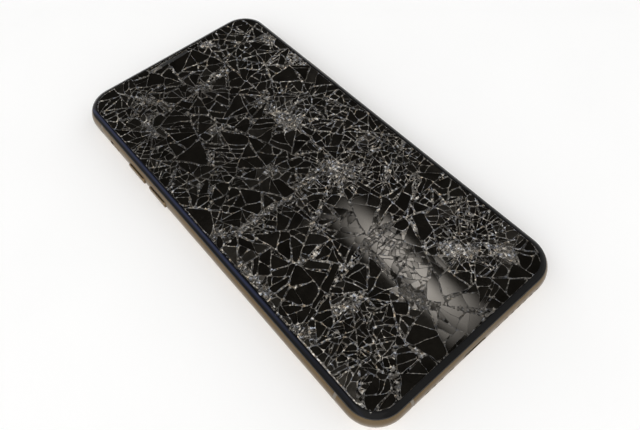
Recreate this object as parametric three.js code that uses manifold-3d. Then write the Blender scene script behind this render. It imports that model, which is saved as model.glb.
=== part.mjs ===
// A slab phone with a shattered front glass, lying on its back with the screen up.
// Millimetres. +X is the phone's right, +Y its top end, +Z out of the screen.
// The origin is under the middle of the phone, on the plane that the camera rim touches.
import * as THREE from "three";
import { mergeVertices } from "three/addons/utils/BufferGeometryUtils.js";
import Module from "manifold-3d";

const wasm = await Module();
wasm.setup();

// Overall size
const PHONE_WIDTH = 70.9;
const PHONE_LENGTH = 143.6;
const PHONE_THICKNESS = 7.7;
const CORNER_RADIUS = 9.7;
const SIDE_ROUND_DEPTH = 3.0;
const SIDE_ROUND_POWER = 2.1;
const CORNER_SEGMENTS = 4;

// Clearances
const BOND_GAP = 0.05;
const SLIDE_GAP = 0.15;
const ASSEMBLY_GAP = 0.3;

// Front stack, from the glass inwards
const COVER_GLASS_THICKNESS = 0.85;
const GLASS_FLAT_INSET = 2.7;
const PANEL_THICKNESS = 0.9;
const PANEL_NOTCH_WIDTH = 35;
const PANEL_NOTCH_DEPTH = 5.6;
const BACKPLATE_THICKNESS = 0.2;
const BEZEL_FLANGE = 0.15;
const BEZEL_SKIRT_WALL = 1.0;
const BEZEL_SKIRT_DEPTH = 0.9;
const GASKET_THICKNESS = 0.12;
const EARPIECE_SLOT_LENGTH = 11;
const EARPIECE_SLOT_WIDTH = 1.3;
const EARPIECE_EDGE_DISTANCE = 4.4;
const EARPIECE_MESH_RECESS = 0.25;

// Steel band round the side
const BAND_WALL = 2.4;
const BAND_LIP_WALL = 1.3;
const BAND_LEDGE = 0.5;
const BAND_LEDGE_REACH = 1.0;
const BAND_PROFILE_STEPS = 8;
const ANTENNA_SLOT = 1.0;
const ANTENNA_FROM_END = 14.0;
const ANTENNA_FROM_SIDE = 13.4;

// Rear stack
const REAR_GLASS_THICKNESS = 0.85;
const CHASSIS_PLATE_THICKNESS = 0.4;
const COIL_OUTER_RADIUS = 22;
const COIL_INNER_RADIUS = 10;
const COIL_THICKNESS = 0.4;
const COIL_Y = -6;
const FERRITE_MARGIN = 3;
const FERRITE_THICKNESS = 0.3;

// Rear cameras
const CAMERA_RIM_HEIGHT = 1.1;
const CAMERA_RIM_WIDTH = 11.4;
const CAMERA_RIM_LENGTH = 24;
const CAMERA_RIM_ROUND = 0.35;
const CAMERA_FROM_SIDE = 10.9;
const CAMERA_FROM_TOP = 17.4;
const CAMERA_SPACING = 12.8;
const LENS_WINDOW_RADIUS = 4.3;
const LENS_WINDOW_THICKNESS = 0.6;
const LENS_WINDOW_RECESS = 0.12;
const LENS_BARREL_RADIUS = 3.9;
const FLASH_RADIUS = 1.5;
const CAMERA_BLOCK_MARGIN = 0.9;

// Controls in the band
const BUTTON_HEIGHT = 2.4;
const BUTTON_PROUD = 0.45;
const BUTTON_EDGE_ROUND = 0.25;
const BUTTON_FLANGE = 0.4;
const BUTTON_FLANGE_LIP = 0.6;
const BUTTON_TRAVEL = 0.3;
const VOLUME_BUTTON_LENGTH = 9.4;
const VOLUME_UP_FROM_TOP = 36.6;
const VOLUME_DOWN_FROM_TOP = 48.6;
const SIDE_BUTTON_LENGTH = 17.6;
const SIDE_BUTTON_FROM_TOP = 42.6;
const SWITCH_PLATE_THICKNESS = 0.4;
const SWITCH_PLATE_MARGIN = 2;
const SWITCH_DOME_RADIUS = 1.1;
const RING_SWITCH_FROM_TOP = 22.8;
const RING_LEVER_LENGTH = 5.6;
const RING_LEVER_HEIGHT = 1.2;
const RING_LEVER_TRAVEL = 1.2;
const RING_LEVER_SINK = 0.15;
const RING_BASE_DEPTH = 1.2;

// Card tray in the right side
const TRAY_FROM_BOTTOM = 59.8;
const TRAY_FACE_LENGTH = 15.8;
const TRAY_FACE_HEIGHT = 1.7;
const TRAY_FACE_DEPTH = 2.2;
const TRAY_DEPTH = 20.5;
const TRAY_SIDE_RELIEF = 0.5;
const CARD_LENGTH = 12.4;
const CARD_WIDTH = 8.9;
const CARD_LEDGE = 0.7;
const CARD_POCKET_DEPTH = 0.8;
const EJECT_HOLE_RADIUS = 0.45;
const READER_WALL = 0.25;

// Bottom edge
const PORT_WIDTH = 8.6;
const PORT_HEIGHT = 2.6;
const PORT_DEPTH = 7.6;
const PORT_WALL = 0.35;
const PORT_TONGUE_WIDTH = 6.4;
const PORT_TONGUE_THICKNESS = 0.7;
const BOTTOM_SCREW_X = 8.6;
const BOTTOM_SCREW_HEAD_RADIUS = 0.85;
const BOTTOM_SCREW_LENGTH = 3.4;
const BOTTOM_SCREW_SHANK_RADIUS = 0.6;
const BOTTOM_SCREW_SINK = 0.12;
const SPEAKER_HOLE_RADIUS = 0.75;
const SPEAKER_HOLES_FROM_SCREW = 3.6;
const SPEAKER_ROW_FROM_SIDE = 10.75;
const SPEAKER_HOLES = 6;
const MICROPHONE_HOLES = 3;
const MESH_THICKNESS = 0.2;

// Parts in the bay
const BAY_INSET = 4.2;
const BOARD_WIDTH = 22;
const BOARD_THICKNESS = 0.8;
const BOARD_STANDOFF = 0.15;
const BOARD_ARM_LENGTH = 36;
const BOARD_ARM_WIDTH = 11.5;
const BOARD_SCREW_INSET = 1.5;
const BOARD_SCREW_HEAD_RADIUS = 1.1;
const BOARD_SCREW_SHANK_RADIUS = 0.6;
const BOARD_SCREW_HEAD = 0.4;
const SHIELD_WALL_CLEARANCE = 1.2;
const SHIELD_RADIUS = 1.0;
const TOP_ZONE = 24;
const BOTTOM_ZONE = 26;
const BATTERY_TOP_GAP = 0.4;
const BATTERY_EDGE_ROUND = 0.6;
const BATTERY_CORNER_RADIUS = 1.6;
const BATTERY_STRIP_WIDTH = 8;
const BATTERY_STRIP_THICKNESS = 0.15;
const MOTOR_LENGTH = 24;
const MOTOR_WIDTH = 9;
const SPEAKER_LENGTH = 22;
const SPEAKER_WIDTH = 20;
const SPEAKER_SNOUT = 2.4;
const PORT_FLEX_THICKNESS = 0.25;
const PORT_FLEX_TAIL = 10;
const FLEX_THICKNESS = 0.2;
const FLEX_WIDTH = 10;
const FLEX_TAB = 4;
const SENSOR_BAR_LENGTH = 32;
const SENSOR_BAR_WIDTH = 6.2;
const SENSOR_BAR_THICKNESS = 0.5;
const EARPIECE_BOX_LENGTH = 13;
const EARPIECE_BOX_WIDTH = 5.2;
const FRONT_CAMERA_SIZE = 5.4;
const FRONT_CAMERA_LENS_RADIUS = 1.8;
const FRONT_CAMERA_X = 11.5;

// How the front glass broke. Each blow has its place on the glass, its number of rays and how far they run.
const BLOWS = [
  { x: -24, y: 43, rays: 10, reach: 17 },
  { x: -18, y: 58, rays: 6, reach: 11 },
  { x: -1, y: 51, rays: 5, reach: 11 },
  { x: 12, y: 54, rays: 8, reach: 15 },
  { x: 31, y: 54, rays: 5, reach: 13 },
  { x: 22, y: 43, rays: 6, reach: 13 },
  { x: -8.5, y: 30, rays: 6, reach: 11 },
  { x: 12, y: 17, rays: 8, reach: 17 },
  { x: 24, y: 21, rays: 7, reach: 13 },
  { x: -26, y: 11, rays: 6, reach: 14 },
  { x: -5, y: 5.5, rays: 7, reach: 15 },
  { x: -31, y: -2.5, rays: 4, reach: 9 },
  { x: 9, y: -7, rays: 10, reach: 24 },
  { x: 30, y: -7, rays: 6, reach: 13 },
  { x: -7.7, y: -19, rays: 9, reach: 14 },
  { x: -19, y: -25.5, rays: 4, reach: 9 },
  { x: 13.5, y: -34, rays: 6, reach: 15 },
  { x: -32, y: -41, rays: 6, reach: 20 },
  { x: -18.5, y: -58, rays: 8, reach: 13 },
  { x: -3, y: -54, rays: 6, reach: 11 },
  { x: 18, y: -51, rays: 8, reach: 14 },
  { x: 26, y: -60, rays: 6, reach: 12 },
];

// Cracks that run right across, each through a few points
const LONG_CRACKS = [
  [[18, 60], [0, 45], [-9, 35], [-22, 19.5]],
  [[20, 60], [2, 44]],
  [[-22, 19.5], [-5, 5.5], [9, -7]],
  [[32.5, 15], [9, -7]],
  [[32.5, 12], [10, -9]],
  [[-27, -6.5], [9, -5]],
  [[-33, -41], [0, -31.5], [14, -23.5]],
  [[-33, -43], [-15.5, -38], [10, -33], [33, -30]],
  [[12, 62], [12, 17]],
  [[-31, 48.5], [-8, 48.5]],
  [[-32.4, -20], [-32.4, -63]],
];

// Stretches of glass that stayed whole: middle and half lengths
const CALM_PATCHES = [
  { x: -17.5, y: 27.5, rx: 4.5, ry: 5 },
  { x: -15.5, y: 43, rx: 3, ry: 3.5 },
  { x: 1.5, y: 36, rx: 3, ry: 3.5 },
  { x: 22, y: 33, rx: 3.5, ry: 3.5 },
  { x: -4.5, y: 19, rx: 4, ry: 6 },
  { x: 3.5, y: 9.5, rx: 2.5, ry: 3.5 },
  { x: -31, y: 6, rx: 2.5, ry: 5 },
  { x: -10, y: -1.5, rx: 5, ry: 3 },
  { x: -22, y: -16, rx: 4, ry: 4 },
  { x: -20.5, y: -32, rx: 6.5, ry: 5 },
  { x: 5, y: -25, rx: 3.5, ry: 4 },
  { x: 12.7, y: -39, rx: 3.5, ry: 3.5 },
  { x: 5, y: -56, rx: 3, ry: 6 },
  { x: -10, y: -62, rx: 5, ry: 4 },
];
const CRACK_SEED = 20;
const CRACK_DEPTH = 0.3;
const CRACK_HALF_WIDTH = 0.13;
const CRACK_FADE_AT_RIM = 0.25;
const CRACK_WANDER = 0.45;
const CRACK_WANDER_LENGTH = 6.5;
const RAY_JITTER = 0.35;
const FRAGMENT_AREA_AT_BLOW = 12;
const FRAGMENT_AREA_GROWTH = 0.9;
const FRAGMENT_AREA_MOST = 64;
const FRAGMENT_AREA_CALM = 80;
const FRAGMENT_AREA_LEAST = 2.6;
const FRAGMENT_THINNEST = 0.3;
const FRAGMENT_TILT = 0.008;
const FRAGMENT_SINK = 0.05;
const CORNER_SNAP = 0.25;

// Heights of the stack, measured from the rear glass's outer face
const FRONT = PHONE_THICKNESS;
const GLASS_UNDERSIDE = FRONT - COVER_GLASS_THICKNESS;
const BEZEL_TOP = GLASS_UNDERSIDE - BOND_GAP;
const BAND_TOP = BEZEL_TOP - BEZEL_FLANGE - BOND_GAP;
const BAND_LEDGE_TOP = BAND_TOP - BEZEL_SKIRT_DEPTH;
const PANEL_TOP = GLASS_UNDERSIDE - BOND_GAP;
const PANEL_UNDERSIDE = PANEL_TOP - PANEL_THICKNESS;
const BACKPLATE_TOP = PANEL_UNDERSIDE - BOND_GAP;
const BAY_CEILING = BACKPLATE_TOP - BACKPLATE_THICKNESS - BOND_GAP;
const BAND_FOOT = REAR_GLASS_THICKNESS + BOND_GAP;
const REAR_LEDGE_TOP = BAND_FOOT + BAND_LEDGE;
const PLATE_FOOT = REAR_LEDGE_TOP + BOND_GAP;
const BAY_FLOOR = PLATE_FOOT + CHASSIS_PLATE_THICKNESS;
const SIDE_MIDDLE = PHONE_THICKNESS / 2;

// Places that several pieces share
const HALF_WIDTH = PHONE_WIDTH / 2;
const HALF_LENGTH = PHONE_LENGTH / 2;
const BAY_RIGHT = HALF_WIDTH - BAY_INSET;
const BAY_TOP = HALF_LENGTH - BAY_INSET;
const BOARD_LEFT = BAY_RIGHT - BOARD_WIDTH;
const BOARD_FOOT = BAY_FLOOR + BOARD_STANDOFF;
const BOARD_TOP = BOARD_FOOT + BOARD_THICKNESS;
const CORE_TOP = BAY_TOP - TOP_ZONE;
const CORE_BOTTOM = -BAY_TOP + BOTTOM_ZONE;
const CAMERA_X = HALF_WIDTH - CAMERA_FROM_SIDE;
const CAMERA_Y = HALF_LENGTH - CAMERA_FROM_TOP;
const EARPIECE_Y = HALF_LENGTH - EARPIECE_EDGE_DISTANCE;
const TRAY_Y = -HALF_LENGTH + TRAY_FROM_BOTTOM;
const ANTENNA_Y = HALF_LENGTH - ANTENNA_FROM_END;
const ANTENNA_X = HALF_WIDTH - ANTENNA_FROM_SIDE;
const SPEAKER_HOLE_FIRST_X = BOTTOM_SCREW_X + SPEAKER_HOLES_FROM_SCREW;
const SPEAKER_HOLE_LAST_X = HALF_WIDTH - SPEAKER_ROW_FROM_SIDE;
const SPEAKER_HOLE_PITCH = (SPEAKER_HOLE_LAST_X - SPEAKER_HOLE_FIRST_X) / (SPEAKER_HOLES - 1);
const MICROPHONE_HOLE_LAST_X = SPEAKER_HOLE_FIRST_X + (MICROPHONE_HOLES - 1) * SPEAKER_HOLE_PITCH;

const MATERIALS = {
  shatteredGlass: { color: 0x0b0b0c, roughness: 0.08, metalness: 0 },
  displayPanel: { color: 0x060607, roughness: 0.3, metalness: 0 },
  blackPlastic: { color: 0x0d0d0e, roughness: 0.55, metalness: 0 },
  goldSteel: { color: 0x8c7353, roughness: 0.24, metalness: 1 },
  antennaPlastic: { color: 0x6b5943, roughness: 0.5, metalness: 0 },
  rearGlass: { color: 0xc9b293, roughness: 0.1, metalness: 0 },
  clearWindow: { color: 0x101014, roughness: 0.03, metalness: 0 },
  flashWindow: { color: 0xe8e2c8, roughness: 0.3, metalness: 0 },
  steel: { color: 0x9a9a9c, roughness: 0.35, metalness: 1 },
  copper: { color: 0xa7653a, roughness: 0.4, metalness: 1 },
  ferrite: { color: 0x2a2a2c, roughness: 0.8, metalness: 0 },
  circuitBoard: { color: 0x12221c, roughness: 0.5, metalness: 0 },
  batteryFoil: { color: 0x1c1c1e, roughness: 0.45, metalness: 0 },
  adhesive: { color: 0xd8d8d4, roughness: 0.7, metalness: 0 },
  flexFilm: { color: 0x3a2412, roughness: 0.5, metalness: 0 },
};

const phone = new THREE.Group();
phone.position.z = CAMERA_RIM_HEIGHT;

function add(name, finish, shape) {
  const geometry = shape.isBufferGeometry ? shape : geometryOf(shape);
  const mesh = new THREE.Mesh(geometry, new THREE.MeshStandardMaterial(MATERIALS[finish]));
  mesh.name = name;
  phone.add(mesh);
}

// Solids for cutting and joining

function solidOf(geometry) {
  const bare = geometry.clone();
  bare.deleteAttribute("normal");
  bare.deleteAttribute("uv");
  const merged = mergeVertices(bare, 1e-4);
  return new wasm.Manifold(
    new wasm.Mesh({
      numProp: 3,
      vertProperties: new Float32Array(merged.attributes.position.array),
      triVerts: new Uint32Array(merged.index.array),
    }),
  );
}

function geometryOf(solid) {
  const mesh = solid.getMesh();
  const geometry = new THREE.BufferGeometry();
  geometry.setAttribute("position", new THREE.BufferAttribute(mesh.vertProperties, 3));
  geometry.setIndex(new THREE.BufferAttribute(mesh.triVerts, 1));
  const flat = geometry.toNonIndexed();
  flat.computeVertexNormals();
  return flat;
}

function join(...solids) {
  return solids.reduce((whole, piece) => whole.add(piece));
}

function cut(body, ...tools) {
  return tools.reduce((rest, tool) => rest.subtract(tool), body);
}

// Outlines

function roundedOutline(width, length, radius) {
  const x = width / 2 - radius;
  const y = length / 2 - radius;
  return new THREE.Shape()
    .absarc(x, y, radius, 0, Math.PI / 2)
    .absarc(-x, y, radius, Math.PI / 2, Math.PI)
    .absarc(-x, -y, radius, Math.PI, 1.5 * Math.PI)
    .absarc(x, -y, radius, 1.5 * Math.PI, 2 * Math.PI)
    .closePath();
}

function pillOutline(length, height) {
  const round = height / 2;
  const straight = length / 2 - round;
  return new THREE.Shape()
    .absarc(straight, 0, round, -Math.PI / 2, Math.PI / 2)
    .absarc(-straight, 0, round, Math.PI / 2, 1.5 * Math.PI)
    .closePath();
}

function rectangleOutline(left, right, bottom, top) {
  return new THREE.Shape([
    new THREE.Vector2(left, bottom),
    new THREE.Vector2(right, bottom),
    new THREE.Vector2(right, top),
    new THREE.Vector2(left, top),
  ]);
}

// Prisms, discs and lofted plates

function prism(outline, foot, top, curveSegments = 4) {
  const options = { depth: top - foot, bevelEnabled: false, curveSegments };
  return solidOf(new THREE.ExtrudeGeometry(outline, options).translate(0, 0, foot));
}

function block(left, right, bottom, top, foot, head) {
  return prism(rectangleOutline(left, right, bottom, top), foot, head);
}

function disc(x, y, radius, foot, top, sides = 18) {
  const geometry = new THREE.CylinderGeometry(radius, radius, top - foot, sides);
  return solidOf(geometry.rotateX(Math.PI / 2).translate(x, y, (foot + top) / 2));
}

// A prism whose outline is drawn in the YZ plane of a side wall and that runs along X
function sidePrism(outline, fromX, toX, y, z, curveSegments = 6) {
  const turn = new THREE.Matrix4().makeBasis(
    new THREE.Vector3(0, 1, 0),
    new THREE.Vector3(0, 0, 1),
    new THREE.Vector3(1, 0, 0),
  );
  const options = { depth: toX - fromX, bevelEnabled: false, curveSegments };
  const geometry = new THREE.ExtrudeGeometry(outline, options).applyMatrix4(turn);
  return solidOf(geometry.translate(fromX, y, z));
}

// A prism whose outline is drawn in the XZ plane of an end wall and that runs along Y
function endPrism(outline, fromY, toY, x, z, curveSegments = 6) {
  const turn = new THREE.Matrix4().makeBasis(
    new THREE.Vector3(-1, 0, 0),
    new THREE.Vector3(0, 0, 1),
    new THREE.Vector3(0, 1, 0),
  );
  const options = { depth: toY - fromY, bevelEnabled: false, curveSegments };
  const geometry = new THREE.ExtrudeGeometry(outline, options).applyMatrix4(turn);
  return solidOf(geometry.translate(x, fromY, z));
}

// Skin over a stack of loops with equal numbers of points: a ring if the section closes, else with end caps
function skin(loops, closed) {
  const count = loops[0].length;
  const points = loops.flat();
  const faces = [];
  const bands = closed ? loops.length : loops.length - 1;
  for (let k = 0; k < bands; k++) {
    const low = k * count;
    const high = ((k + 1) % loops.length) * count;
    for (let i = 0; i < count; i++) {
      const next = (i + 1) % count;
      faces.push(low + i, low + next, high + next, low + i, high + next, high + i);
    }
  }
  if (!closed) {
    const last = (loops.length - 1) * count;
    for (let i = 1; i < count - 1; i++) {
      faces.push(0, i + 1, i, last, last + i, last + i + 1);
    }
  }
  const geometry = new THREE.BufferGeometry().setFromPoints(points);
  geometry.setIndex(faces);
  return geometry;
}

// Points round a rounded rectangle, the first not repeated at the end
function roundedPoints(width, length, radius) {
  const points = roundedOutline(width, length, radius).extractPoints(CORNER_SEGMENTS).shape;
  return points.filter((p, i) => p.distanceTo(points[(i + 1) % points.length]) > 1e-6);
}

// Loops of a rounded rectangle, each pulled in by an inset and set at a height
function roundedLoops(width, length, radius, section) {
  return section.map(([inset, z]) => {
    const points = roundedPoints(width - 2 * inset, length - 2 * inset, radius - inset);
    return points.map((p) => new THREE.Vector3(p.x, p.y, z));
  });
}

function phoneLoops(section) {
  return roundedLoops(PHONE_WIDTH, PHONE_LENGTH, CORNER_RADIUS, section);
}

// How far the phone's side lies inside its widest line, at a height: a superellipse
function sideInset(z) {
  const reach = Math.min(1, Math.abs(z - SIDE_MIDDLE) / SIDE_MIDDLE);
  const across = (1 - reach ** SIDE_ROUND_POWER) ** (1 / SIDE_ROUND_POWER);
  return SIDE_ROUND_DEPTH * (1 - across);
}

function sideSection(fromZ, toZ, steps) {
  return Array.from({ length: steps + 1 }, (_, i) => {
    const z = fromZ + ((toZ - fromZ) * i) / steps;
    return [sideInset(z), z];
  });
}

// Fragments of the front glass

function randomFrom(seed) {
  let state = seed;
  return () => {
    state = (state + 0x6d2b79f5) | 0;
    let mixed = Math.imul(state ^ (state >>> 15), state | 1);
    mixed = (mixed + Math.imul(mixed ^ (mixed >>> 7), mixed | 61)) ^ mixed;
    return ((mixed ^ (mixed >>> 14)) >>> 0) / 4294967296;
  };
}

const area = (polygon) => Math.abs(THREE.ShapeUtils.area(polygon));

function perimeter(polygon) {
  return polygon.reduce((sum, p, i) => sum + p.distanceTo(polygon[(i + 1) % polygon.length]), 0);
}

function middle(polygon) {
  const sum = polygon.reduce((total, p) => total.add(p), new THREE.Vector2());
  return sum.divideScalar(polygon.length);
}

// The part of a convex polygon on the left of a line
function leftOf(polygon, point, along) {
  const side = (p) => along.x * (p.y - point.y) - along.y * (p.x - point.x);
  const kept = [];
  polygon.forEach((a, i) => {
    const b = polygon[(i + 1) % polygon.length];
    const sa = side(a);
    const sb = side(b);
    if (sa >= 0) kept.push(a);
    if (sa * sb < 0) kept.push(a.clone().lerp(b, sa / (sa - sb)));
  });
  return kept;
}

const sound = (polygon) =>
  polygon.length > 2 &&
  area(polygon) > FRAGMENT_AREA_LEAST &&
  (2 * area(polygon)) / perimeter(polygon) > FRAGMENT_THINNEST;

const next = (loop, i) => loop[(i + 1) % loop.length];

// Cracks a fragment in two along a line, or gives nothing if a half would be a splinter. A corner near the
// line is used as it is. A new corner goes to the neighbour across its edge too, so that they share corners.
function crackFragment(fragments, fragment, point, along) {
  const sides = fragment.map((p) => {
    const away = along.x * (p.y - point.y) - along.y * (p.x - point.x);
    return Math.abs(away) < CORNER_SNAP ? 0 : away;
  });
  const halves = [[], []];
  const added = [];
  fragment.forEach((a, i) => {
    const b = next(fragment, i);
    if (sides[i] >= 0) halves[0].push(a);
    if (sides[i] <= 0) halves[1].push(a);
    if (sides[i] * next(sides, i) >= 0) return;
    const corner = a.clone().lerp(b, sides[i] / (sides[i] - next(sides, i)));
    halves.forEach((half) => half.push(corner));
    added.push({ corner, a, b });
  });
  const ends = added.length + sides.filter((side) => side === 0).length;
  if (ends !== 2 || !halves.every(sound)) return [];
  fragments.splice(fragments.indexOf(fragment), 1, ...halves);
  for (const { corner, a, b } of added) {
    const neighbour = fragments.find((loop) => loop.some((p, i) => p === b && next(loop, i) === a));
    neighbour?.splice(neighbour.indexOf(b) + 1, 0, corner);
  }
  return halves;
}

// How much of a straight crack runs through a convex polygon, as a share of the whole chord there
function shareOfChord(polygon, from, to) {
  const along = to.clone().sub(from);
  let enter = -Infinity;
  let leave = Infinity;
  polygon.forEach((a, i) => {
    const edge = polygon[(i + 1) % polygon.length].clone().sub(a);
    const rate = edge.cross(along);
    const gap = edge.cross(from.clone().sub(a));
    if (Math.abs(rate) < 1e-9) {
      if (gap < 0) leave = -Infinity;
    } else if (rate > 0) enter = Math.max(enter, -gap / rate);
    else leave = Math.min(leave, -gap / rate);
  });
  if (leave <= enter) return 0;
  return Math.max(0, Math.min(leave, 1) - Math.max(enter, 0)) / (leave - enter);
}

function crackAlong(fragments, from, to) {
  const along = to.clone().sub(from).normalize();
  for (const fragment of [...fragments]) {
    if (shareOfChord(fragment, from, to) > 0.4) crackFragment(fragments, fragment, from, along);
  }
}

function wantedArea(p) {
  for (const patch of CALM_PATCHES) {
    if (Math.hypot((p.x - patch.x) / patch.rx, (p.y - patch.y) / patch.ry) < 1) return FRAGMENT_AREA_CALM;
  }
  const nearest = Math.min(...BLOWS.map((blow) => Math.hypot(p.x - blow.x, p.y - blow.y)));
  return Math.min(FRAGMENT_AREA_MOST, FRAGMENT_AREA_AT_BLOW + FRAGMENT_AREA_GROWTH * nearest ** 1.5);
}

// Breaks a fragment across its longest side until its pieces have the size that its place gives
function breakDown(fragments, fragment, random) {
  const centre = middle(fragment);
  if (area(fragment) < wantedArea(centre) * (0.7 + 0.9 * random())) return;
  let longest = new THREE.Vector2();
  fragment.forEach((a) =>
    fragment.forEach((b) => {
      const span = b.clone().sub(a);
      if (span.lengthSq() > longest.lengthSq()) longest = span;
    }),
  );
  const along = new THREE.Vector2(-longest.y, longest.x).normalize();
  along.rotateAround(new THREE.Vector2(), (random() - 0.5) * 0.9);
  const through = centre.add(longest.multiplyScalar((random() - 0.5) * 0.3));
  const halves = crackFragment(fragments, fragment, through, along);
  halves.forEach((half) => breakDown(fragments, half, random));
}

function breakGlass(outline) {
  const random = randomFrom(CRACK_SEED);
  const fragments = [outline];
  for (const crack of LONG_CRACKS) {
    for (let i = 1; i < crack.length; i++) {
      crackAlong(fragments, new THREE.Vector2(...crack[i - 1]), new THREE.Vector2(...crack[i]));
    }
  }
  for (const blow of BLOWS) {
    const turn = random() * 2 * Math.PI;
    for (let ray = 0; ray < blow.rays; ray++) {
      const angle = turn + ((ray + RAY_JITTER * (random() - 0.5)) * 2 * Math.PI) / blow.rays;
      const from = new THREE.Vector2(blow.x + random() - 0.5, blow.y + random() - 0.5);
      const reach = blow.reach * (0.6 + 0.4 * random());
      const to = from.clone().add(new THREE.Vector2(reach, 0).rotateAround(new THREE.Vector2(), angle));
      crackAlong(fragments, from, to);
    }
  }
  for (const fragment of [...fragments]) breakDown(fragments, fragment, random);
  return fragments;
}

// Cracks wander: a smooth shift of the corners that dies out at the rim
function wander(p, outlineDistance) {
  const wave = (2 * Math.PI) / CRACK_WANDER_LENGTH;
  const fade = CRACK_WANDER * Math.min(1, outlineDistance(p) / CRACK_WANDER_LENGTH);
  const dx = Math.sin(wave * p.y * 0.7 + 1.3) + Math.sin(wave * (p.x * 0.6 + p.y) + 0.4);
  const dy = Math.sin(wave * p.x * 0.8 + 2.1) + Math.sin(wave * (p.x - p.y * 0.7) + 5.0);
  return new THREE.Vector2(p.x + fade * dx * 0.5, p.y + fade * dy * 0.5);
}

// A convex loop pulled in from every edge, or nothing if no room is left
function pulledIn(loop, distance) {
  let rest = loop;
  loop.forEach((a, i) => {
    const edge = loop[(i + 1) % loop.length].clone().sub(a).normalize();
    const inner = new THREE.Vector2(a.x - edge.y * distance, a.y + edge.x * distance);
    if (rest.length) rest = leftOf(rest, inner, edge);
  });
  return rest.length > 2 && area(rest) > 0.02 ? rest : null;
}

// Triangles between an outer and an inner loop, both running round the inner loop's middle
function zip(outer, inner, centre, faces) {
  const turnOf = (loop) => {
    const angles = loop.map(({ p }) => Math.atan2(p.y - centre.y, p.x - centre.x));
    const start = angles.indexOf(Math.min(...angles));
    return loop.map((_, i) => {
      const at = (start + i) % loop.length;
      return { index: loop[at].index, angle: angles[at] };
    });
  };
  const ring = turnOf(outer);
  const hub = turnOf(inner);
  const after = (list, i) => (i < list.length ? list[i].angle : list[i - list.length].angle + 2 * Math.PI);
  let i = 0;
  let j = 0;
  while (i < ring.length || j < hub.length) {
    const o = ring[i % ring.length].index;
    const h = hub[j % hub.length].index;
    if (j >= hub.length || (i < ring.length && after(ring, i + 1) <= after(hub, j + 1))) {
      faces.push(o, ring[(i + 1) % ring.length].index, h);
      i += 1;
    } else {
      faces.push(h, o, hub[(j + 1) % hub.length].index);
      j += 1;
    }
  }
}

function shatteredGlass() {
  const random = randomFrom(CRACK_SEED + 1);
  const flatWidth = PHONE_WIDTH - 2 * GLASS_FLAT_INSET;
  const flatLength = PHONE_LENGTH - 2 * GLASS_FLAT_INSET;
  const flatRadius = CORNER_RADIUS - GLASS_FLAT_INSET;
  const outline = roundedPoints(flatWidth, flatLength, flatRadius);
  const core = new THREE.Vector2(flatWidth / 2 - flatRadius, flatLength / 2 - flatRadius);
  const fromCore = (p) => p.clone().sub(p.clone().clamp(core.clone().negate(), core));
  const outlineDistance = (p) => Math.max(0, flatRadius - fromCore(p).length());

  const fragments = breakGlass(outline);
  const corners = [...new Set(fragments.flat())];
  const indexOf = new Map(corners.map((corner, i) => [corner, i]));
  const loops = fragments.map((fragment) => fragment.map((corner) => indexOf.get(corner)));
  const edges = new Set(loops.flatMap((loop) => loop.map((c, i) => `${c} ${next(loop, i)}`)));
  const nextOnRim = new Map();
  loops.forEach((loop) =>
    loop.forEach((c, i) => {
      if (!edges.has(`${next(loop, i)} ${c}`)) nextOnRim.set(c, next(loop, i));
    }),
  );
  const moved = corners.map((p, i) => (nextOnRim.has(i) ? p : wander(p, outlineDistance)));
  const points = moved.map((p, i) => {
    const depth = CRACK_DEPTH * (nextOnRim.has(i) ? CRACK_FADE_AT_RIM : 1);
    return new THREE.Vector3(p.x, p.y, FRONT - depth);
  });
  const faces = [];
  const place = (p, z) => points.push(new THREE.Vector3(p.x, p.y, z)) - 1;

  for (const loop of loops) {
    const outer = loop.map((index) => ({ index, p: moved[index] }));
    const inset = pulledIn(loop.map((index) => moved[index]), CRACK_HALF_WIDTH);
    if (!inset) {
      const crumb = place(middle(outer.map(({ p }) => p)), FRONT - CRACK_DEPTH / 2);
      loop.forEach((c, i) => faces.push(c, next(loop, i), crumb));
      continue;
    }
    const centre = middle(inset);
    const sink = FRAGMENT_SINK * random();
    const tilt = new THREE.Vector2(random() - 0.5, random() - 0.5).multiplyScalar(2 * FRAGMENT_TILT);
    const inner = inset.map((p) => {
      const rise = Math.min(sink, Math.max(-sink, tilt.dot(p.clone().sub(centre))));
      return { index: place(p, FRONT - sink + rise), p };
    });
    zip(outer, inner, centre, faces);
    for (let i = 1; i < inner.length - 1; i++) {
      faces.push(inner[0].index, inner[i].index, inner[i + 1].index);
    }
  }
  addRim(points, faces, nextOnRim, fromCore);
  const geometry = new THREE.BufferGeometry().setFromPoints(points);
  geometry.setIndex(faces);
  const slot = prism(
    pillOutline(EARPIECE_SLOT_LENGTH, EARPIECE_SLOT_WIDTH),
    GLASS_UNDERSIDE - 1,
    FRONT + 1,
  ).translate([0, EARPIECE_Y, 0]);
  return cut(solidOf(geometry), slot);
}

// The rounded edge and the underside of the glass, from the ends of the cracks outwards
function addRim(points, faces, nextOnRim, fromCore) {
  const ring = [...nextOnRim.keys()].slice(0, 1);
  while (ring.length < nextOnRim.size) ring.push(nextOnRim.get(ring[ring.length - 1]));
  const heights = [FRONT - 0.06, FRONT - 0.3, GLASS_UNDERSIDE];
  let inner = ring;
  for (const z of heights) {
    const outer = ring.map((index) => {
      const p = points[index];
      const away = fromCore(new THREE.Vector2(p.x, p.y)).normalize();
      const shift = GLASS_FLAT_INSET - sideInset(z);
      return points.push(new THREE.Vector3(p.x + away.x * shift, p.y + away.y * shift, z)) - 1;
    });
    ring.forEach((_, i) => {
      const next = (i + 1) % ring.length;
      faces.push(inner[i], outer[next], inner[next], inner[i], outer[i], outer[next]);
    });
    inner = outer;
  }
  for (let i = 1; i < inner.length - 1; i++) faces.push(inner[0], inner[i + 1], inner[i]);
}

// Display behind the glass

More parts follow.
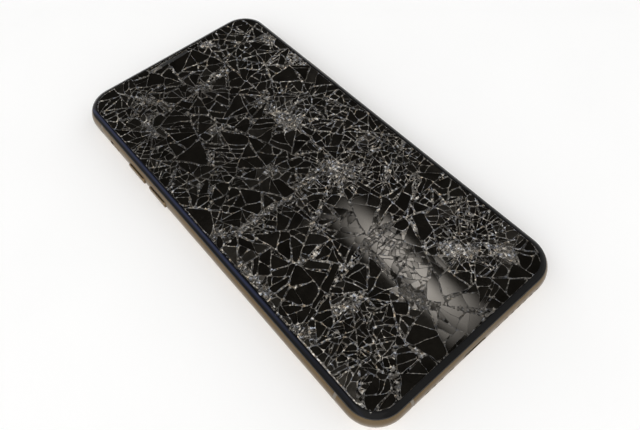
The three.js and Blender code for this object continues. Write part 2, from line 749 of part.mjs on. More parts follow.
function displayPanel() {
  const inset = SIDE_ROUND_DEPTH + BEZEL_SKIRT_WALL + ASSEMBLY_GAP;
  const section = [[inset, PANEL_UNDERSIDE], [inset, PANEL_TOP]];
  const notch = block(
    -PANEL_NOTCH_WIDTH / 2,
    PANEL_NOTCH_WIDTH / 2,
    HALF_LENGTH - inset - PANEL_NOTCH_DEPTH,
    HALF_LENGTH,
    PANEL_UNDERSIDE - 1,
    PANEL_TOP + 1,
  );
  return cut(solidOf(skin(phoneLoops(section), false)), notch);
}

function displayBackplate() {
  const inset = SIDE_ROUND_DEPTH + BEZEL_SKIRT_WALL + 2 * ASSEMBLY_GAP;
  const top = HALF_LENGTH - inset - PANEL_NOTCH_DEPTH - ASSEMBLY_GAP;
  const bottom = -HALF_LENGTH + inset;
  const outline = roundedOutline(PHONE_WIDTH - 2 * inset, top - bottom, CORNER_RADIUS - inset);
  const plate = prism(outline, BACKPLATE_TOP - BACKPLATE_THICKNESS, BACKPLATE_TOP);
  return plate.translate([0, (top + bottom) / 2, 0]);
}

// A ring with a flange over the band and a skirt inside it
const BAND_LIP_INSET = sideInset(BAND_TOP) + BAND_LIP_WALL;
const SKIRT_INSET = BAND_LIP_INSET + 2 * BOND_GAP;
const SKIRT_FOOT = BAND_LEDGE_TOP + GASKET_THICKNESS + 2 * BOND_GAP;

function displayBezel() {
  const section = [
    [sideInset(BAND_TOP + BOND_GAP), BAND_TOP + BOND_GAP],
    [sideInset(BEZEL_TOP), BEZEL_TOP],
    [SKIRT_INSET + BEZEL_SKIRT_WALL, BEZEL_TOP],
    [SKIRT_INSET + BEZEL_SKIRT_WALL, SKIRT_FOOT],
    [SKIRT_INSET, SKIRT_FOOT],
    [SKIRT_INSET, BAND_TOP + BOND_GAP],
  ];
  return skin(phoneLoops(section), true);
}

function displayGasket() {
  const foot = BAND_LEDGE_TOP + BOND_GAP;
  const top = foot + GASKET_THICKNESS;
  const near = SKIRT_INSET;
  const far = BAND_WALL + BAND_LEDGE_REACH;
  return skin(phoneLoops([[near, foot], [near, top], [far, top], [far, foot]]), true);
}

// Steel band, cut into conductors by plastic breaks

function bandRing(skinGap) {
  const side = sideSection(BAND_FOOT, BAND_TOP, BAND_PROFILE_STEPS);
  const outer = side.map(([inset, z]) => [inset + skinGap, z]);
  const inner = [
    [BAND_LIP_INSET, BAND_TOP],
    [BAND_LIP_INSET, BAND_LEDGE_TOP],
    [BAND_WALL + BAND_LEDGE_REACH, BAND_LEDGE_TOP],
    [BAND_WALL + BAND_LEDGE_REACH, BAND_LEDGE_TOP - BAND_LEDGE],
    [BAND_WALL, BAND_LEDGE_TOP - BAND_LEDGE],
    [BAND_WALL, REAR_LEDGE_TOP],
    [BAND_WALL + BAND_LEDGE_REACH, REAR_LEDGE_TOP],
    [BAND_WALL + BAND_LEDGE_REACH, BAND_FOOT],
  ];
  return solidOf(skin(phoneLoops([...outer, ...inner]), true));
}

const ANTENNA_BREAKS = [
  { name: "antenna_break_left_lower", x: -HALF_WIDTH, y: -ANTENNA_Y },
  { name: "antenna_break_left_upper", x: -HALF_WIDTH, y: ANTENNA_Y },
  { name: "antenna_break_right_lower", x: HALF_WIDTH, y: -ANTENNA_Y },
  { name: "antenna_break_right_upper", x: HALF_WIDTH, y: ANTENNA_Y },
  { name: "antenna_break_bottom", x: -ANTENNA_X, y: -HALF_LENGTH },
  { name: "antenna_break_top", x: ANTENNA_X, y: HALF_LENGTH },
];

// The gap between two conductors, narrowed by a clearance on each side
function antennaGap(place, clearance) {
  const depth = BAND_WALL + BAND_LEDGE_REACH + 1;
  const half = ANTENNA_SLOT / 2 - clearance;
  const acrossSide = Math.abs(place.x) === HALF_WIDTH;
  const spanX = acrossSide ? depth : half;
  const spanY = acrossSide ? half : depth;
  return block(place.x - spanX, place.x + spanX, place.y - spanY, place.y + spanY, 0, FRONT);
}

function bandSlots() {
  const gap = 2 * SLIDE_GAP;
  const slot = (side, y, outline) => {
    const edge = side * HALF_WIDTH;
    return sidePrism(outline, edge - BAND_WALL - 1, edge + BAND_WALL + 1, y, SIDE_MIDDLE, 3);
  };
  const pillSlot = (side, y, length, height) => slot(side, y, pillOutline(length + gap, height + gap));
  const switchHeight = RING_LEVER_HEIGHT + RING_LEVER_TRAVEL + gap;
  const switchRound = RING_LEVER_HEIGHT / 2 + SLIDE_GAP;
  const switchSlot = roundedOutline(RING_LEVER_LENGTH + gap, switchHeight, switchRound);
  const socketRoom = pillOutline(
    PORT_WIDTH + 2 * (PORT_WALL + ASSEMBLY_GAP),
    PORT_HEIGHT + 2 * (PORT_WALL + ASSEMBLY_GAP),
  );
  const wallBack = -HALF_LENGTH + BAND_WALL;
  const holes = [
    slot(-1, HALF_LENGTH - RING_SWITCH_FROM_TOP, switchSlot),
    pillSlot(-1, HALF_LENGTH - VOLUME_UP_FROM_TOP, VOLUME_BUTTON_LENGTH, BUTTON_HEIGHT),
    pillSlot(-1, HALF_LENGTH - VOLUME_DOWN_FROM_TOP, VOLUME_BUTTON_LENGTH, BUTTON_HEIGHT),
    pillSlot(1, HALF_LENGTH - SIDE_BUTTON_FROM_TOP, SIDE_BUTTON_LENGTH, BUTTON_HEIGHT),
    pillSlot(1, TRAY_Y, TRAY_FACE_LENGTH, TRAY_FACE_HEIGHT),
    endHole(pillOutline(PORT_WIDTH, PORT_HEIGHT), 0),
    endPrism(socketRoom, wallBack, wallBack + BAND_LEDGE_REACH + 1, 0, SIDE_MIDDLE, 3),
  ];
  for (const side of [-1, 1]) {
    const head = new THREE.Shape().absarc(0, 0, BOTTOM_SCREW_HEAD_RADIUS + SLIDE_GAP, 0, 2 * Math.PI);
    holes.push(endHole(head, side * BOTTOM_SCREW_X));
  }
  for (const x of speakerHolePlaces()) {
    holes.push(endHole(new THREE.Shape().absarc(0, 0, SPEAKER_HOLE_RADIUS, 0, 2 * Math.PI), x));
  }
  return holes;
}

function endHole(outline, x) {
  return endPrism(outline, -HALF_LENGTH - 1, -HALF_LENGTH + BAND_WALL + 1, x, SIDE_MIDDLE, 4);
}

function speakerHolePlaces() {
  const row = (count, side) =>
    Array.from({ length: count }, (_, i) => side * (SPEAKER_HOLE_FIRST_X + i * SPEAKER_HOLE_PITCH));
  return [...row(MICROPHONE_HOLES, -1), ...row(SPEAKER_HOLES, 1)];
}

// Each conductor is known by a point near its middle
const BAND_PIECES = [
  { name: "band_left", x: -HALF_WIDTH, y: 0 },
  { name: "band_right", x: HALF_WIDTH, y: 0 },
  { name: "band_top", x: 0, y: HALF_LENGTH },
  { name: "band_top_corner", x: HALF_WIDTH, y: HALF_LENGTH },
  { name: "band_bottom", x: 0, y: -HALF_LENGTH },
  { name: "band_bottom_corner", x: -HALF_WIDTH, y: -HALF_LENGTH },
];

function addBand() {
  const ring = bandRing(0);
  const gaps = ANTENNA_BREAKS.map((place) => antennaGap(place, 0));
  const conductors = cut(ring, ...gaps, ...bandSlots()).decompose();
  const offset = (solid, place) => {
    const { min, max } = solid.boundingBox();
    return Math.hypot((min[0] + max[0]) / 2 - place.x, (min[1] + max[1]) / 2 - place.y);
  };
  for (const place of BAND_PIECES) {
    const nearer = (one, other) => (offset(other, place) < offset(one, place) ? other : one);
    add(place.name, "goldSteel", conductors.reduce(nearer));
  }
  const flush = bandRing(BOND_GAP);
  for (const place of ANTENNA_BREAKS) {
    add(place.name, "antennaPlastic", flush.intersect(antennaGap(place, BOND_GAP)));
  }
}

// Rear shell

function cameraOutline(margin) {
  return pillOutline(CAMERA_RIM_LENGTH + 2 * margin, CAMERA_RIM_WIDTH + 2 * margin);
}

function cameraPrism(margin, foot, top) {
  return prism(cameraOutline(margin), foot, top, 5).rotate([0, 0, 90]).translate([CAMERA_X, CAMERA_Y, 0]);
}

function rearGlass() {
  const edge = sideSection(0, REAR_GLASS_THICKNESS, 5);
  return cut(solidOf(skin(phoneLoops(edge), false)), cameraPrism(SLIDE_GAP, -1, REAR_GLASS_THICKNESS + 1));
}

function chassisPlate() {
  const inset = BAND_WALL + ASSEMBLY_GAP;
  const plate = solidOf(skin(phoneLoops([[inset, PLATE_FOOT], [inset, BAY_FLOOR]]), false));
  const half = COIL_OUTER_RADIUS + FERRITE_MARGIN + ASSEMBLY_GAP;
  const window = block(-half, half, COIL_Y - half, COIL_Y + half, PLATE_FOOT - 1, BAY_FLOOR + 1);
  const holes = boardScrewPlaces().map(([x, y]) =>
    disc(x, y, BOARD_SCREW_SHANK_RADIUS + SLIDE_GAP, PLATE_FOOT - 1, BAY_FLOOR + 1, 10),
  );
  return cut(plate, window, cameraPrism(ASSEMBLY_GAP, PLATE_FOOT - 1, BAY_FLOOR + 1), ...holes);
}

function chargingCoil() {
  const top = PLATE_FOOT - BOND_GAP;
  const ring = new THREE.Shape().absarc(0, COIL_Y, COIL_OUTER_RADIUS, 0, 2 * Math.PI);
  ring.holes.push(new THREE.Path().absarc(0, COIL_Y, COIL_INNER_RADIUS, 0, 2 * Math.PI, true));
  return prism(ring, top - COIL_THICKNESS, top, 12);
}

function coilFerrite() {
  const half = COIL_OUTER_RADIUS + FERRITE_MARGIN;
  return block(-half, half, COIL_Y - half, COIL_Y + half, PLATE_FOOT, PLATE_FOOT + FERRITE_THICKNESS);
}

// Rear cameras: the rim stands proud of the glass and carries the windows

const LENS_PLACES = [CAMERA_Y + CAMERA_SPACING / 2, CAMERA_Y - CAMERA_SPACING / 2];
const RIM_TOP = BAY_FLOOR;

function cameraRim() {
  const section = [
    [CAMERA_RIM_ROUND, -CAMERA_RIM_HEIGHT],
    [CAMERA_RIM_ROUND * 0.3, -CAMERA_RIM_HEIGHT + CAMERA_RIM_ROUND * 0.3],
    [0, -CAMERA_RIM_HEIGHT + CAMERA_RIM_ROUND],
    [0, RIM_TOP],
  ];
  const radius = CAMERA_RIM_WIDTH / 2 - 0.01;
  const loops = roundedLoops(CAMERA_RIM_WIDTH, CAMERA_RIM_LENGTH, radius, section);
  const body = solidOf(skin(loops, false).translate(CAMERA_X, CAMERA_Y, 0));
  const foot = -CAMERA_RIM_HEIGHT - 1;
  const wellRadius = LENS_WINDOW_RADIUS + SLIDE_GAP;
  const wells = LENS_PLACES.map((y) => disc(CAMERA_X, y, wellRadius, foot, RIM_TOP + 1));
  return cut(body, ...wells, disc(CAMERA_X, CAMERA_Y, FLASH_RADIUS + SLIDE_GAP, foot, RIM_TOP + 1, 14));
}

function lensWindow(y) {
  const foot = -CAMERA_RIM_HEIGHT + LENS_WINDOW_RECESS;
  return disc(CAMERA_X, y, LENS_WINDOW_RADIUS, foot, foot + LENS_WINDOW_THICKNESS);
}

function flashWindow() {
  const foot = -CAMERA_RIM_HEIGHT + LENS_WINDOW_RECESS;
  return disc(CAMERA_X, CAMERA_Y, FLASH_RADIUS, foot, RIM_TOP, 14);
}

function cameraModule() {
  const barrelFoot = -CAMERA_RIM_HEIGHT + LENS_WINDOW_RECESS + LENS_WINDOW_THICKNESS + BOND_GAP;
  const halfWidth = LENS_BARREL_RADIUS + CAMERA_BLOCK_MARGIN;
  const halfLength = CAMERA_SPACING / 2 + halfWidth;
  const blockFoot = RIM_TOP + BOND_GAP;
  const body = block(
    CAMERA_X - halfWidth,
    CAMERA_X + halfWidth,
    CAMERA_Y - halfLength,
    CAMERA_Y + halfLength,
    blockFoot,
    BAY_CEILING - ASSEMBLY_GAP,
  );
  const barrelTop = blockFoot + 0.5;
  const barrels = LENS_PLACES.map((y) => disc(CAMERA_X, y, LENS_BARREL_RADIUS, barrelFoot, barrelTop));
  return join(body, ...barrels);
}

// Side controls

// A pill cap that runs through the band, with a wider flange that keeps it in
function sideButton(side, y, length) {
  const edge = side * HALF_WIDTH;
  const out = edge + side * BUTTON_PROUD;
  const seat = edge - side * (BAND_WALL + ASSEMBLY_GAP / 2);
  const inside = seat - side * BUTTON_FLANGE;
  const span = (outline, a, b) => sidePrism(outline, Math.min(a, b), Math.max(a, b), y, SIDE_MIDDLE, 3);
  const cap = span(pillOutline(length, BUTTON_HEIGHT), seat, out - side * BUTTON_EDGE_ROUND);
  const faceLength = length - 2 * BUTTON_EDGE_ROUND;
  const face = span(pillOutline(faceLength, BUTTON_HEIGHT - 2 * BUTTON_EDGE_ROUND), seat, out);
  const flange = span(pillOutline(length + 2 * BUTTON_FLANGE_LIP, BUTTON_HEIGHT), seat, inside);
  return join(cap, face, flange);
}

const SWITCH_FACE_INSET = BAND_WALL + ASSEMBLY_GAP / 2 + BUTTON_FLANGE + BUTTON_TRAVEL + BOND_GAP;

// The plate of dome switches behind buttons of one length, listed from the top one down
function switchPlate(side, domes, buttonLength) {
  const top = domes[0] + buttonLength / 2;
  const bottom = domes[domes.length - 1] - buttonLength / 2;
  const face = side * (HALF_WIDTH - SWITCH_FACE_INSET);
  const back = face - side * SWITCH_PLATE_THICKNESS;
  const edge = (a, b) => [Math.min(a, b), Math.max(a, b)];
  const plate = block(
    ...edge(face - side * BOND_GAP, back),
    bottom - SWITCH_PLATE_MARGIN,
    top + SWITCH_PLATE_MARGIN,
    BAY_FLOOR + BOND_GAP,
    BAND_LEDGE_TOP - BAND_LEDGE - BOND_GAP,
  );
  const circle = new THREE.Shape().absarc(0, 0, SWITCH_DOME_RADIUS, 0, 2 * Math.PI);
  const raised = domes.map((y) => sidePrism(circle, ...edge(face, back), y, SIDE_MIDDLE, 6));
  return join(plate, ...raised);
}

const RING_Y = HALF_LENGTH - RING_SWITCH_FROM_TOP;
const RING_Z = SIDE_MIDDLE - RING_LEVER_TRAVEL / 2;

function ringSwitch() {
  const out = -HALF_WIDTH + RING_LEVER_SINK;
  const seat = -HALF_WIDTH + BAND_WALL + ASSEMBLY_GAP / 2;
  const outline = pillOutline(RING_LEVER_LENGTH, RING_LEVER_HEIGHT);
  const lever = sidePrism(outline, out, seat + BUTTON_FLANGE / 2, RING_Y, RING_Z, 5);
  const shoe = RING_LEVER_LENGTH / 2 + BUTTON_FLANGE_LIP;
  const slide = block(
    seat,
    seat + BUTTON_FLANGE,
    RING_Y - shoe,
    RING_Y + shoe,
    RING_Z - RING_LEVER_HEIGHT / 2,
    RING_Z + RING_LEVER_HEIGHT / 2,
  );
  return join(lever, slide);
}

function ringSwitchBase() {
  const face = -HALF_WIDTH + BAND_WALL + ASSEMBLY_GAP / 2 + BUTTON_FLANGE + SLIDE_GAP;
  const half = RING_LEVER_LENGTH / 2 + BUTTON_FLANGE_LIP;
  return block(
    face,
    face + RING_BASE_DEPTH,
    RING_Y - half,
    RING_Y + half,
    BAY_FLOOR + BOND_GAP,
    BAND_LEDGE_TOP - BAND_LEDGE - BOND_GAP,
  );
}

// Card tray: a face that follows the band, and a drawer with a pocket for the card

const TRAY_FOOT = SIDE_MIDDLE - TRAY_FACE_HEIGHT / 2;
const TRAY_HEAD = SIDE_MIDDLE + TRAY_FACE_HEIGHT / 2;

function cardTray() {
  const envelope = solidOf(skin(phoneLoops(sideSection(0, FRONT, 2 * BAND_PROFILE_STEPS)), false));
  const outline = pillOutline(TRAY_FACE_LENGTH, TRAY_FACE_HEIGHT);
  const faceBack = HALF_WIDTH - TRAY_FACE_DEPTH;
  const face = sidePrism(outline, faceBack, HALF_WIDTH + 1, TRAY_Y, SIDE_MIDDLE, 5).intersect(envelope);
  const half = TRAY_FACE_LENGTH / 2 - TRAY_SIDE_RELIEF;
  const foot = TRAY_FOOT + SLIDE_GAP;
  const head = TRAY_HEAD - SLIDE_GAP;
  const drawer = block(faceBack - TRAY_DEPTH, faceBack + 0.5, TRAY_Y - half, TRAY_Y + half, foot, head);
  const cardX = faceBack - TRAY_DEPTH / 2;
  const pocket = block(
    cardX - CARD_WIDTH / 2,
    cardX + CARD_WIDTH / 2,
    TRAY_Y - CARD_LENGTH / 2,
    TRAY_Y + CARD_LENGTH / 2,
    head - CARD_POCKET_DEPTH,
    head + 1,
  );
  const window = block(
    cardX - CARD_WIDTH / 2 + CARD_LEDGE,
    cardX + CARD_WIDTH / 2 - CARD_LEDGE,
    TRAY_Y - CARD_LENGTH / 2 + CARD_LEDGE,
    TRAY_Y + CARD_LENGTH / 2 - CARD_LEDGE,
    foot - 1,
    head + 1,
  );
  const ejectY = TRAY_Y + TRAY_FACE_LENGTH / 2 - TRAY_FACE_HEIGHT;
  const pin = new THREE.Shape().absarc(0, 0, EJECT_HOLE_RADIUS, 0, 2 * Math.PI);
  const eject = sidePrism(pin, faceBack - 1, HALF_WIDTH + 2, ejectY, SIDE_MIDDLE, 4);
  return cut(join(face, drawer), pocket, window, eject);
}

// A folded metal tunnel on the board that the tray slides into
function cardReader() {
  const half = TRAY_FACE_LENGTH / 2 - TRAY_SIDE_RELIEF + SLIDE_GAP;
  const right = HALF_WIDTH - BAND_WALL - BAND_LEDGE_REACH - ASSEMBLY_GAP;
  const left = HALF_WIDTH - TRAY_FACE_DEPTH - TRAY_DEPTH - ASSEMBLY_GAP;
  const foot = BOARD_TOP + BOND_GAP;
  const roof = TRAY_HEAD + READER_WALL;
  const shell = block(
    left - READER_WALL,
    right,
    TRAY_Y - half - READER_WALL,
    TRAY_Y + half + READER_WALL,
    foot,
    roof,
  );
  const tunnel = block(left, right + 1, TRAY_Y - half, TRAY_Y + half, foot + READER_WALL, TRAY_HEAD);
  return cut(shell, tunnel);
}

// Bottom edge: charging socket, screws and meshes

const PORT_BACK = -HALF_LENGTH + BAND_WALL + ASSEMBLY_GAP + PORT_DEPTH;

function chargePort() {
  const mouth = -HALF_LENGTH + BAND_WALL + ASSEMBLY_GAP;
  const inside = pillOutline(PORT_WIDTH, PORT_HEIGHT);
  const outside = pillOutline(PORT_WIDTH + 2 * PORT_WALL, PORT_HEIGHT + 2 * PORT_WALL);
  const shell = endPrism(outside, mouth, PORT_BACK, 0, SIDE_MIDDLE, 4);
  const hollow = endPrism(inside, mouth - 1, PORT_BACK - PORT_WALL, 0, SIDE_MIDDLE, 4);
  const tongue = block(
    -PORT_TONGUE_WIDTH / 2,
    PORT_TONGUE_WIDTH / 2,
    mouth + PORT_WALL,
    PORT_BACK - PORT_WALL / 2,
    SIDE_MIDDLE - PORT_TONGUE_THICKNESS / 2,
    SIDE_MIDDLE + PORT_TONGUE_THICKNESS / 2,
  );
  return join(cut(shell, hollow), tongue);
}

// The flexible board under the socket, with a tail towards the main board
function portFlex() {
  const foot = BAY_FLOOR + BOND_GAP;
  const half = PORT_WIDTH / 2 + PORT_WALL;
  const front = -HALF_LENGTH + BAND_WALL + BAND_LEDGE_REACH + ASSEMBLY_GAP;
  const pad = block(-half, half, front, PORT_BACK + 1, foot, foot + PORT_FLEX_THICKNESS);
  const tail = block(-2, 2, PORT_BACK, PORT_BACK + PORT_FLEX_TAIL, foot, foot + PORT_FLEX_THICKNESS);
  return join(pad, tail);
}

function bottomScrew(x) {
  const face = BOTTOM_SCREW_SINK;
  const shoulder = face + BAND_WALL;
  const profile = [
    new THREE.Vector2(0, face),
    new THREE.Vector2(BOTTOM_SCREW_HEAD_RADIUS, face),
    new THREE.Vector2(BOTTOM_SCREW_HEAD_RADIUS, shoulder),
    new THREE.Vector2(BOTTOM_SCREW_SHANK_RADIUS, shoulder),
    new THREE.Vector2(BOTTOM_SCREW_SHANK_RADIUS, face + BOTTOM_SCREW_LENGTH),
    new THREE.Vector2(0, face + BOTTOM_SCREW_LENGTH),
  ];
  return new THREE.LatheGeometry(profile, 10).translate(x, -HALF_LENGTH, SIDE_MIDDLE);
}

function meshStrip(fromX, toX) {
  const y = -HALF_LENGTH + BAND_WALL + BOND_GAP;
  const margin = SPEAKER_HOLE_RADIUS + 0.6;
  return block(
    fromX - margin,
    toX + margin,
    y,
    y + MESH_THICKNESS,
    SIDE_MIDDLE - margin,
    SIDE_MIDDLE + margin,
  );
}

function loudspeaker() {
  const bottom = -BAY_TOP;
  const right = BAY_RIGHT;
  const foot = BAY_FLOOR + BOND_GAP;
  const head = BAY_CEILING - ASSEMBLY_GAP;
  const outline = roundedOutline(SPEAKER_LENGTH, SPEAKER_WIDTH, 2);
  const place = [right - SPEAKER_LENGTH / 2, bottom + SPEAKER_WIDTH / 2, 0];
  const box = prism(outline, foot, head, 3).translate(place);
  const corner = CORNER_RADIUS - BAY_INSET;
  const keep = solidOf(
    skin(roundedLoops(2 * BAY_RIGHT, 2 * BAY_TOP, corner, [[0, foot - 1], [0, head + 1]]), false),
  );
  const snout = block(
    SPEAKER_HOLE_FIRST_X,
    Math.min(SPEAKER_HOLE_LAST_X, right - corner),
    bottom - SPEAKER_SNOUT + ASSEMBLY_GAP + BAND_LEDGE_REACH,
    bottom + 1,
    REAR_LEDGE_TOP + 1,
    BAND_LEDGE_TOP - BAND_LEDGE - ASSEMBLY_GAP,
  );
  return join(box.intersect(keep), snout);
}

function vibrationMotor() {
  const outline = roundedOutline(MOTOR_LENGTH, MOTOR_WIDTH, 1);
  const x = -BAY_RIGHT + MOTOR_LENGTH / 2;
  const y = -BAY_TOP + CORNER_RADIUS - BAY_INSET + MOTOR_WIDTH / 2;
  return prism(outline, BAY_FLOOR + BOND_GAP, BAY_CEILING - ASSEMBLY_GAP, 3).translate([x, y, 0]);
}

// Battery and main board

function batteryPlace() {
  const left = -BAY_RIGHT;
  const right = BOARD_LEFT - ASSEMBLY_GAP;
  const bottom = CORE_BOTTOM;
  const top = CORE_TOP - ASSEMBLY_GAP;
  return { x: (left + right) / 2, y: (bottom + top) / 2, width: right - left, length: top - bottom };
}

function battery() {
  const place = batteryPlace();
  const foot = BAY_FLOOR + BATTERY_STRIP_THICKNESS + 2 * BOND_GAP;
  const head = BAY_CEILING - BATTERY_TOP_GAP;
  const round = BATTERY_EDGE_ROUND;
  const section = [
    [round, foot],
    [0, foot + round],
    [0, head - round],
    [round, head],
  ];
  const loops = roundedLoops(place.width, place.length, BATTERY_CORNER_RADIUS, section);
  return skin(loops, false).translate(place.x, place.y, 0);
}

function batteryStrip(side) {
  const place = batteryPlace();
  const x = place.x + side * (place.width / 2 - BATTERY_STRIP_WIDTH);
  const foot = BAY_FLOOR + BOND_GAP;
  const half = place.length / 2 - BATTERY_CORNER_RADIUS;
  return block(
    x - BATTERY_STRIP_WIDTH / 2,
    x + BATTERY_STRIP_WIDTH / 2,
    place.y - half,
    place.y + half,
    foot,
    foot + BATTERY_STRIP_THICKNESS,
  );
}

const CAMERA_ROOM = LENS_BARREL_RADIUS + CAMERA_BLOCK_MARGIN + 2 * ASSEMBLY_GAP;
const BOARD_STEP_X = CAMERA_X - CAMERA_ROOM;
const BOARD_STEP_Y = CAMERA_Y - CAMERA_SPACING / 2 - CAMERA_ROOM;
const BOARD_ARM_TOP = CORE_TOP + BOARD_ARM_WIDTH;
const BOARD_ARM_LEFT = BOARD_STEP_X - BOARD_ARM_LENGTH;

function boardScrewPlaces() {
  return [
    [BAY_RIGHT - BOARD_SCREW_INSET, CORE_BOTTOM + BOARD_SCREW_INSET],
    [BOARD_LEFT + BOARD_SCREW_INSET, CORE_BOTTOM + BOARD_SCREW_INSET],
    [BAY_RIGHT - BOARD_SCREW_INSET, BOARD_STEP_Y - BOARD_SCREW_INSET],
    [BOARD_ARM_LEFT + BOARD_SCREW_INSET, BOARD_ARM_TOP - BOARD_SCREW_INSET],
  ];
}

// An L: a column beside the battery and an arm above it, stepped round the cameras
function mainBoard() {
  const outline = new THREE.Shape([
    new THREE.Vector2(BOARD_LEFT, CORE_BOTTOM),
    new THREE.Vector2(BAY_RIGHT, CORE_BOTTOM),
    new THREE.Vector2(BAY_RIGHT, BOARD_STEP_Y),
    new THREE.Vector2(BOARD_STEP_X, BOARD_STEP_Y),
    new THREE.Vector2(BOARD_STEP_X, BOARD_ARM_TOP),
    new THREE.Vector2(BOARD_ARM_LEFT, BOARD_ARM_TOP),
    new THREE.Vector2(BOARD_ARM_LEFT, CORE_TOP),
    new THREE.Vector2(BOARD_LEFT, CORE_TOP),
  ]);
  const holes = boardScrewPlaces().map(([x, y]) =>
    disc(x, y, BOARD_SCREW_SHANK_RADIUS + SLIDE_GAP, BOARD_FOOT - 1, BOARD_TOP + 1, 10),
  );
  return cut(prism(outline, BOARD_FOOT, BOARD_TOP), ...holes);
}

function boardScrew(x, y) {
  const foot = PLATE_FOOT + BOND_GAP;
  const seat = BOARD_TOP + BOND_GAP;
  const profile = [
    new THREE.Vector2(0, foot),
    new THREE.Vector2(BOARD_SCREW_SHANK_RADIUS, foot),
    new THREE.Vector2(BOARD_SCREW_SHANK_RADIUS, seat),
    new THREE.Vector2(BOARD_SCREW_HEAD_RADIUS, seat),
    new THREE.Vector2(BOARD_SCREW_HEAD_RADIUS, seat + BOARD_SCREW_HEAD),
    new THREE.Vector2(0, seat + BOARD_SCREW_HEAD),
  ];
  return new THREE.LatheGeometry(profile, 8).rotateX(Math.PI / 2).translate(x, y, 0);
}

function shieldCan(bottom, top) {
  const left = SHIELD_LEFT;
  const right = BAY_RIGHT - SHIELD_WALL_CLEARANCE;
  const outline = roundedOutline(right - left, top - bottom, SHIELD_RADIUS);
  const foot = BOARD_TOP + BOND_GAP;
  const can = prism(outline, foot, BAY_CEILING - ASSEMBLY_GAP, 3);
  return can.translate([(left + right) / 2, (bottom + top) / 2, 0]);
}

const SHIELD_LEFT = BOARD_LEFT + FLEX_TAB + SHIELD_WALL_CLEARANCE;
const READER_HALF = TRAY_FACE_LENGTH / 2 + SHIELD_WALL_CLEARANCE;
const SCREW_ROOM = BOARD_SCREW_INSET + BOARD_SCREW_HEAD_RADIUS + ASSEMBLY_GAP;

// A folded ribbon from the display's back down to the board
function displayFlex() {
  const low = BOARD_TOP + BOND_GAP;
  const high = BAY_CEILING - ASSEMBLY_GAP / 2;
  const left = BOARD_LEFT + ASSEMBLY_GAP;
  const right = left + FLEX_TAB;
  const film = FLEX_THICKNESS;
  const fold = new THREE.Shape([
    new THREE.Vector2(-right, low),
    new THREE.Vector2(-left, low),
    new THREE.Vector2(-left, high),
    new THREE.Vector2(-right, high),
    new THREE.Vector2(-right, high - film),
    new THREE.Vector2(-left - film, high - film),
    new THREE.Vector2(-left - film, low + film),
    new THREE.Vector2(-right, low + film),
  ]);
  const foot = TRAY_Y + READER_HALF + SHIELD_WALL_CLEARANCE;
  return endPrism(fold, foot, foot + FLEX_WIDTH, 0, 0);
}

// Earpiece, front camera and the bar that carries them, in the display's notch

const SENSOR_TOP = HALF_LENGTH - BAND_WALL - BAND_LEDGE_REACH - ASSEMBLY_GAP;
const SENSOR_BAR_FOOT = BAND_LEDGE_TOP - BAND_LEDGE - ASSEMBLY_GAP - SENSOR_BAR_THICKNESS;
const SENSOR_HEAD = BEZEL_TOP - ASSEMBLY_GAP;

function sensorBar() {
  const half = SENSOR_BAR_LENGTH / 2;
  return block(
    -half,
    half,
    SENSOR_TOP - SENSOR_BAR_WIDTH,
    SENSOR_TOP,
    SENSOR_BAR_FOOT,
    SENSOR_BAR_FOOT + SENSOR_BAR_THICKNESS,
  );
}

const SKIRT_CLEAR_Y = HALF_LENGTH - SKIRT_INSET - BEZEL_SKIRT_WALL - ASSEMBLY_GAP;

function earpieceSpeaker() {
  const half = EARPIECE_BOX_LENGTH / 2;
  return block(
    -half,
    half,
    SKIRT_CLEAR_Y - EARPIECE_BOX_WIDTH,
    SKIRT_CLEAR_Y,
    SENSOR_BAR_FOOT + SENSOR_BAR_THICKNESS + BOND_GAP,
    SENSOR_HEAD,
  );
}

function earpieceMesh() {
  const length = EARPIECE_SLOT_LENGTH - 2 * SLIDE_GAP;
  const outline = pillOutline(length, EARPIECE_SLOT_WIDTH - 2 * SLIDE_GAP);
  const foot = SENSOR_HEAD + BOND_GAP;
  return prism(outline, foot, FRONT - EARPIECE_MESH_RECESS).translate([0, EARPIECE_Y, 0]);
}

function frontCamera() {
  const half = FRONT_CAMERA_SIZE / 2;
  const y = SKIRT_CLEAR_Y - half;
  const foot = SENSOR_BAR_FOOT + SENSOR_BAR_THICKNESS + BOND_GAP;
  const shoulder = (foot + SENSOR_HEAD) / 2;
  const body = block(FRONT_CAMERA_X - half, FRONT_CAMERA_X + half, y - half, y + half, foot, shoulder);
  return join(body, disc(FRONT_CAMERA_X, y, FRONT_CAMERA_LENS_RADIUS, shoulder - 0.3, SENSOR_HEAD, 16));
}

// Assembly

add("cover_glass", "shatteredGlass", shatteredGlass());
add("display_panel", "displayPanel", displayPanel());
add("display_backplate", "steel", displayBackplate());
add("display_bezel", "blackPlastic", displayBezel());
add("display_gasket", "adhesive", displayGasket());
addBand();
add("rear_glass", "rearGlass", rearGlass());
add("chassis_plate", "steel", chassisPlate());
add("charging_coil", "copper", chargingCoil());
add("coil_ferrite", "ferrite", coilFerrite());
add("camera_rim", "goldSteel", cameraRim());
add("camera_window_upper", "clearWindow", lensWindow(LENS_PLACES[0]));
add("camera_window_lower", "clearWindow", lensWindow(LENS_PLACES[1]));
add("flash_window", "flashWindow", flashWindow());
add("camera_module", "blackPlastic", cameraModule());

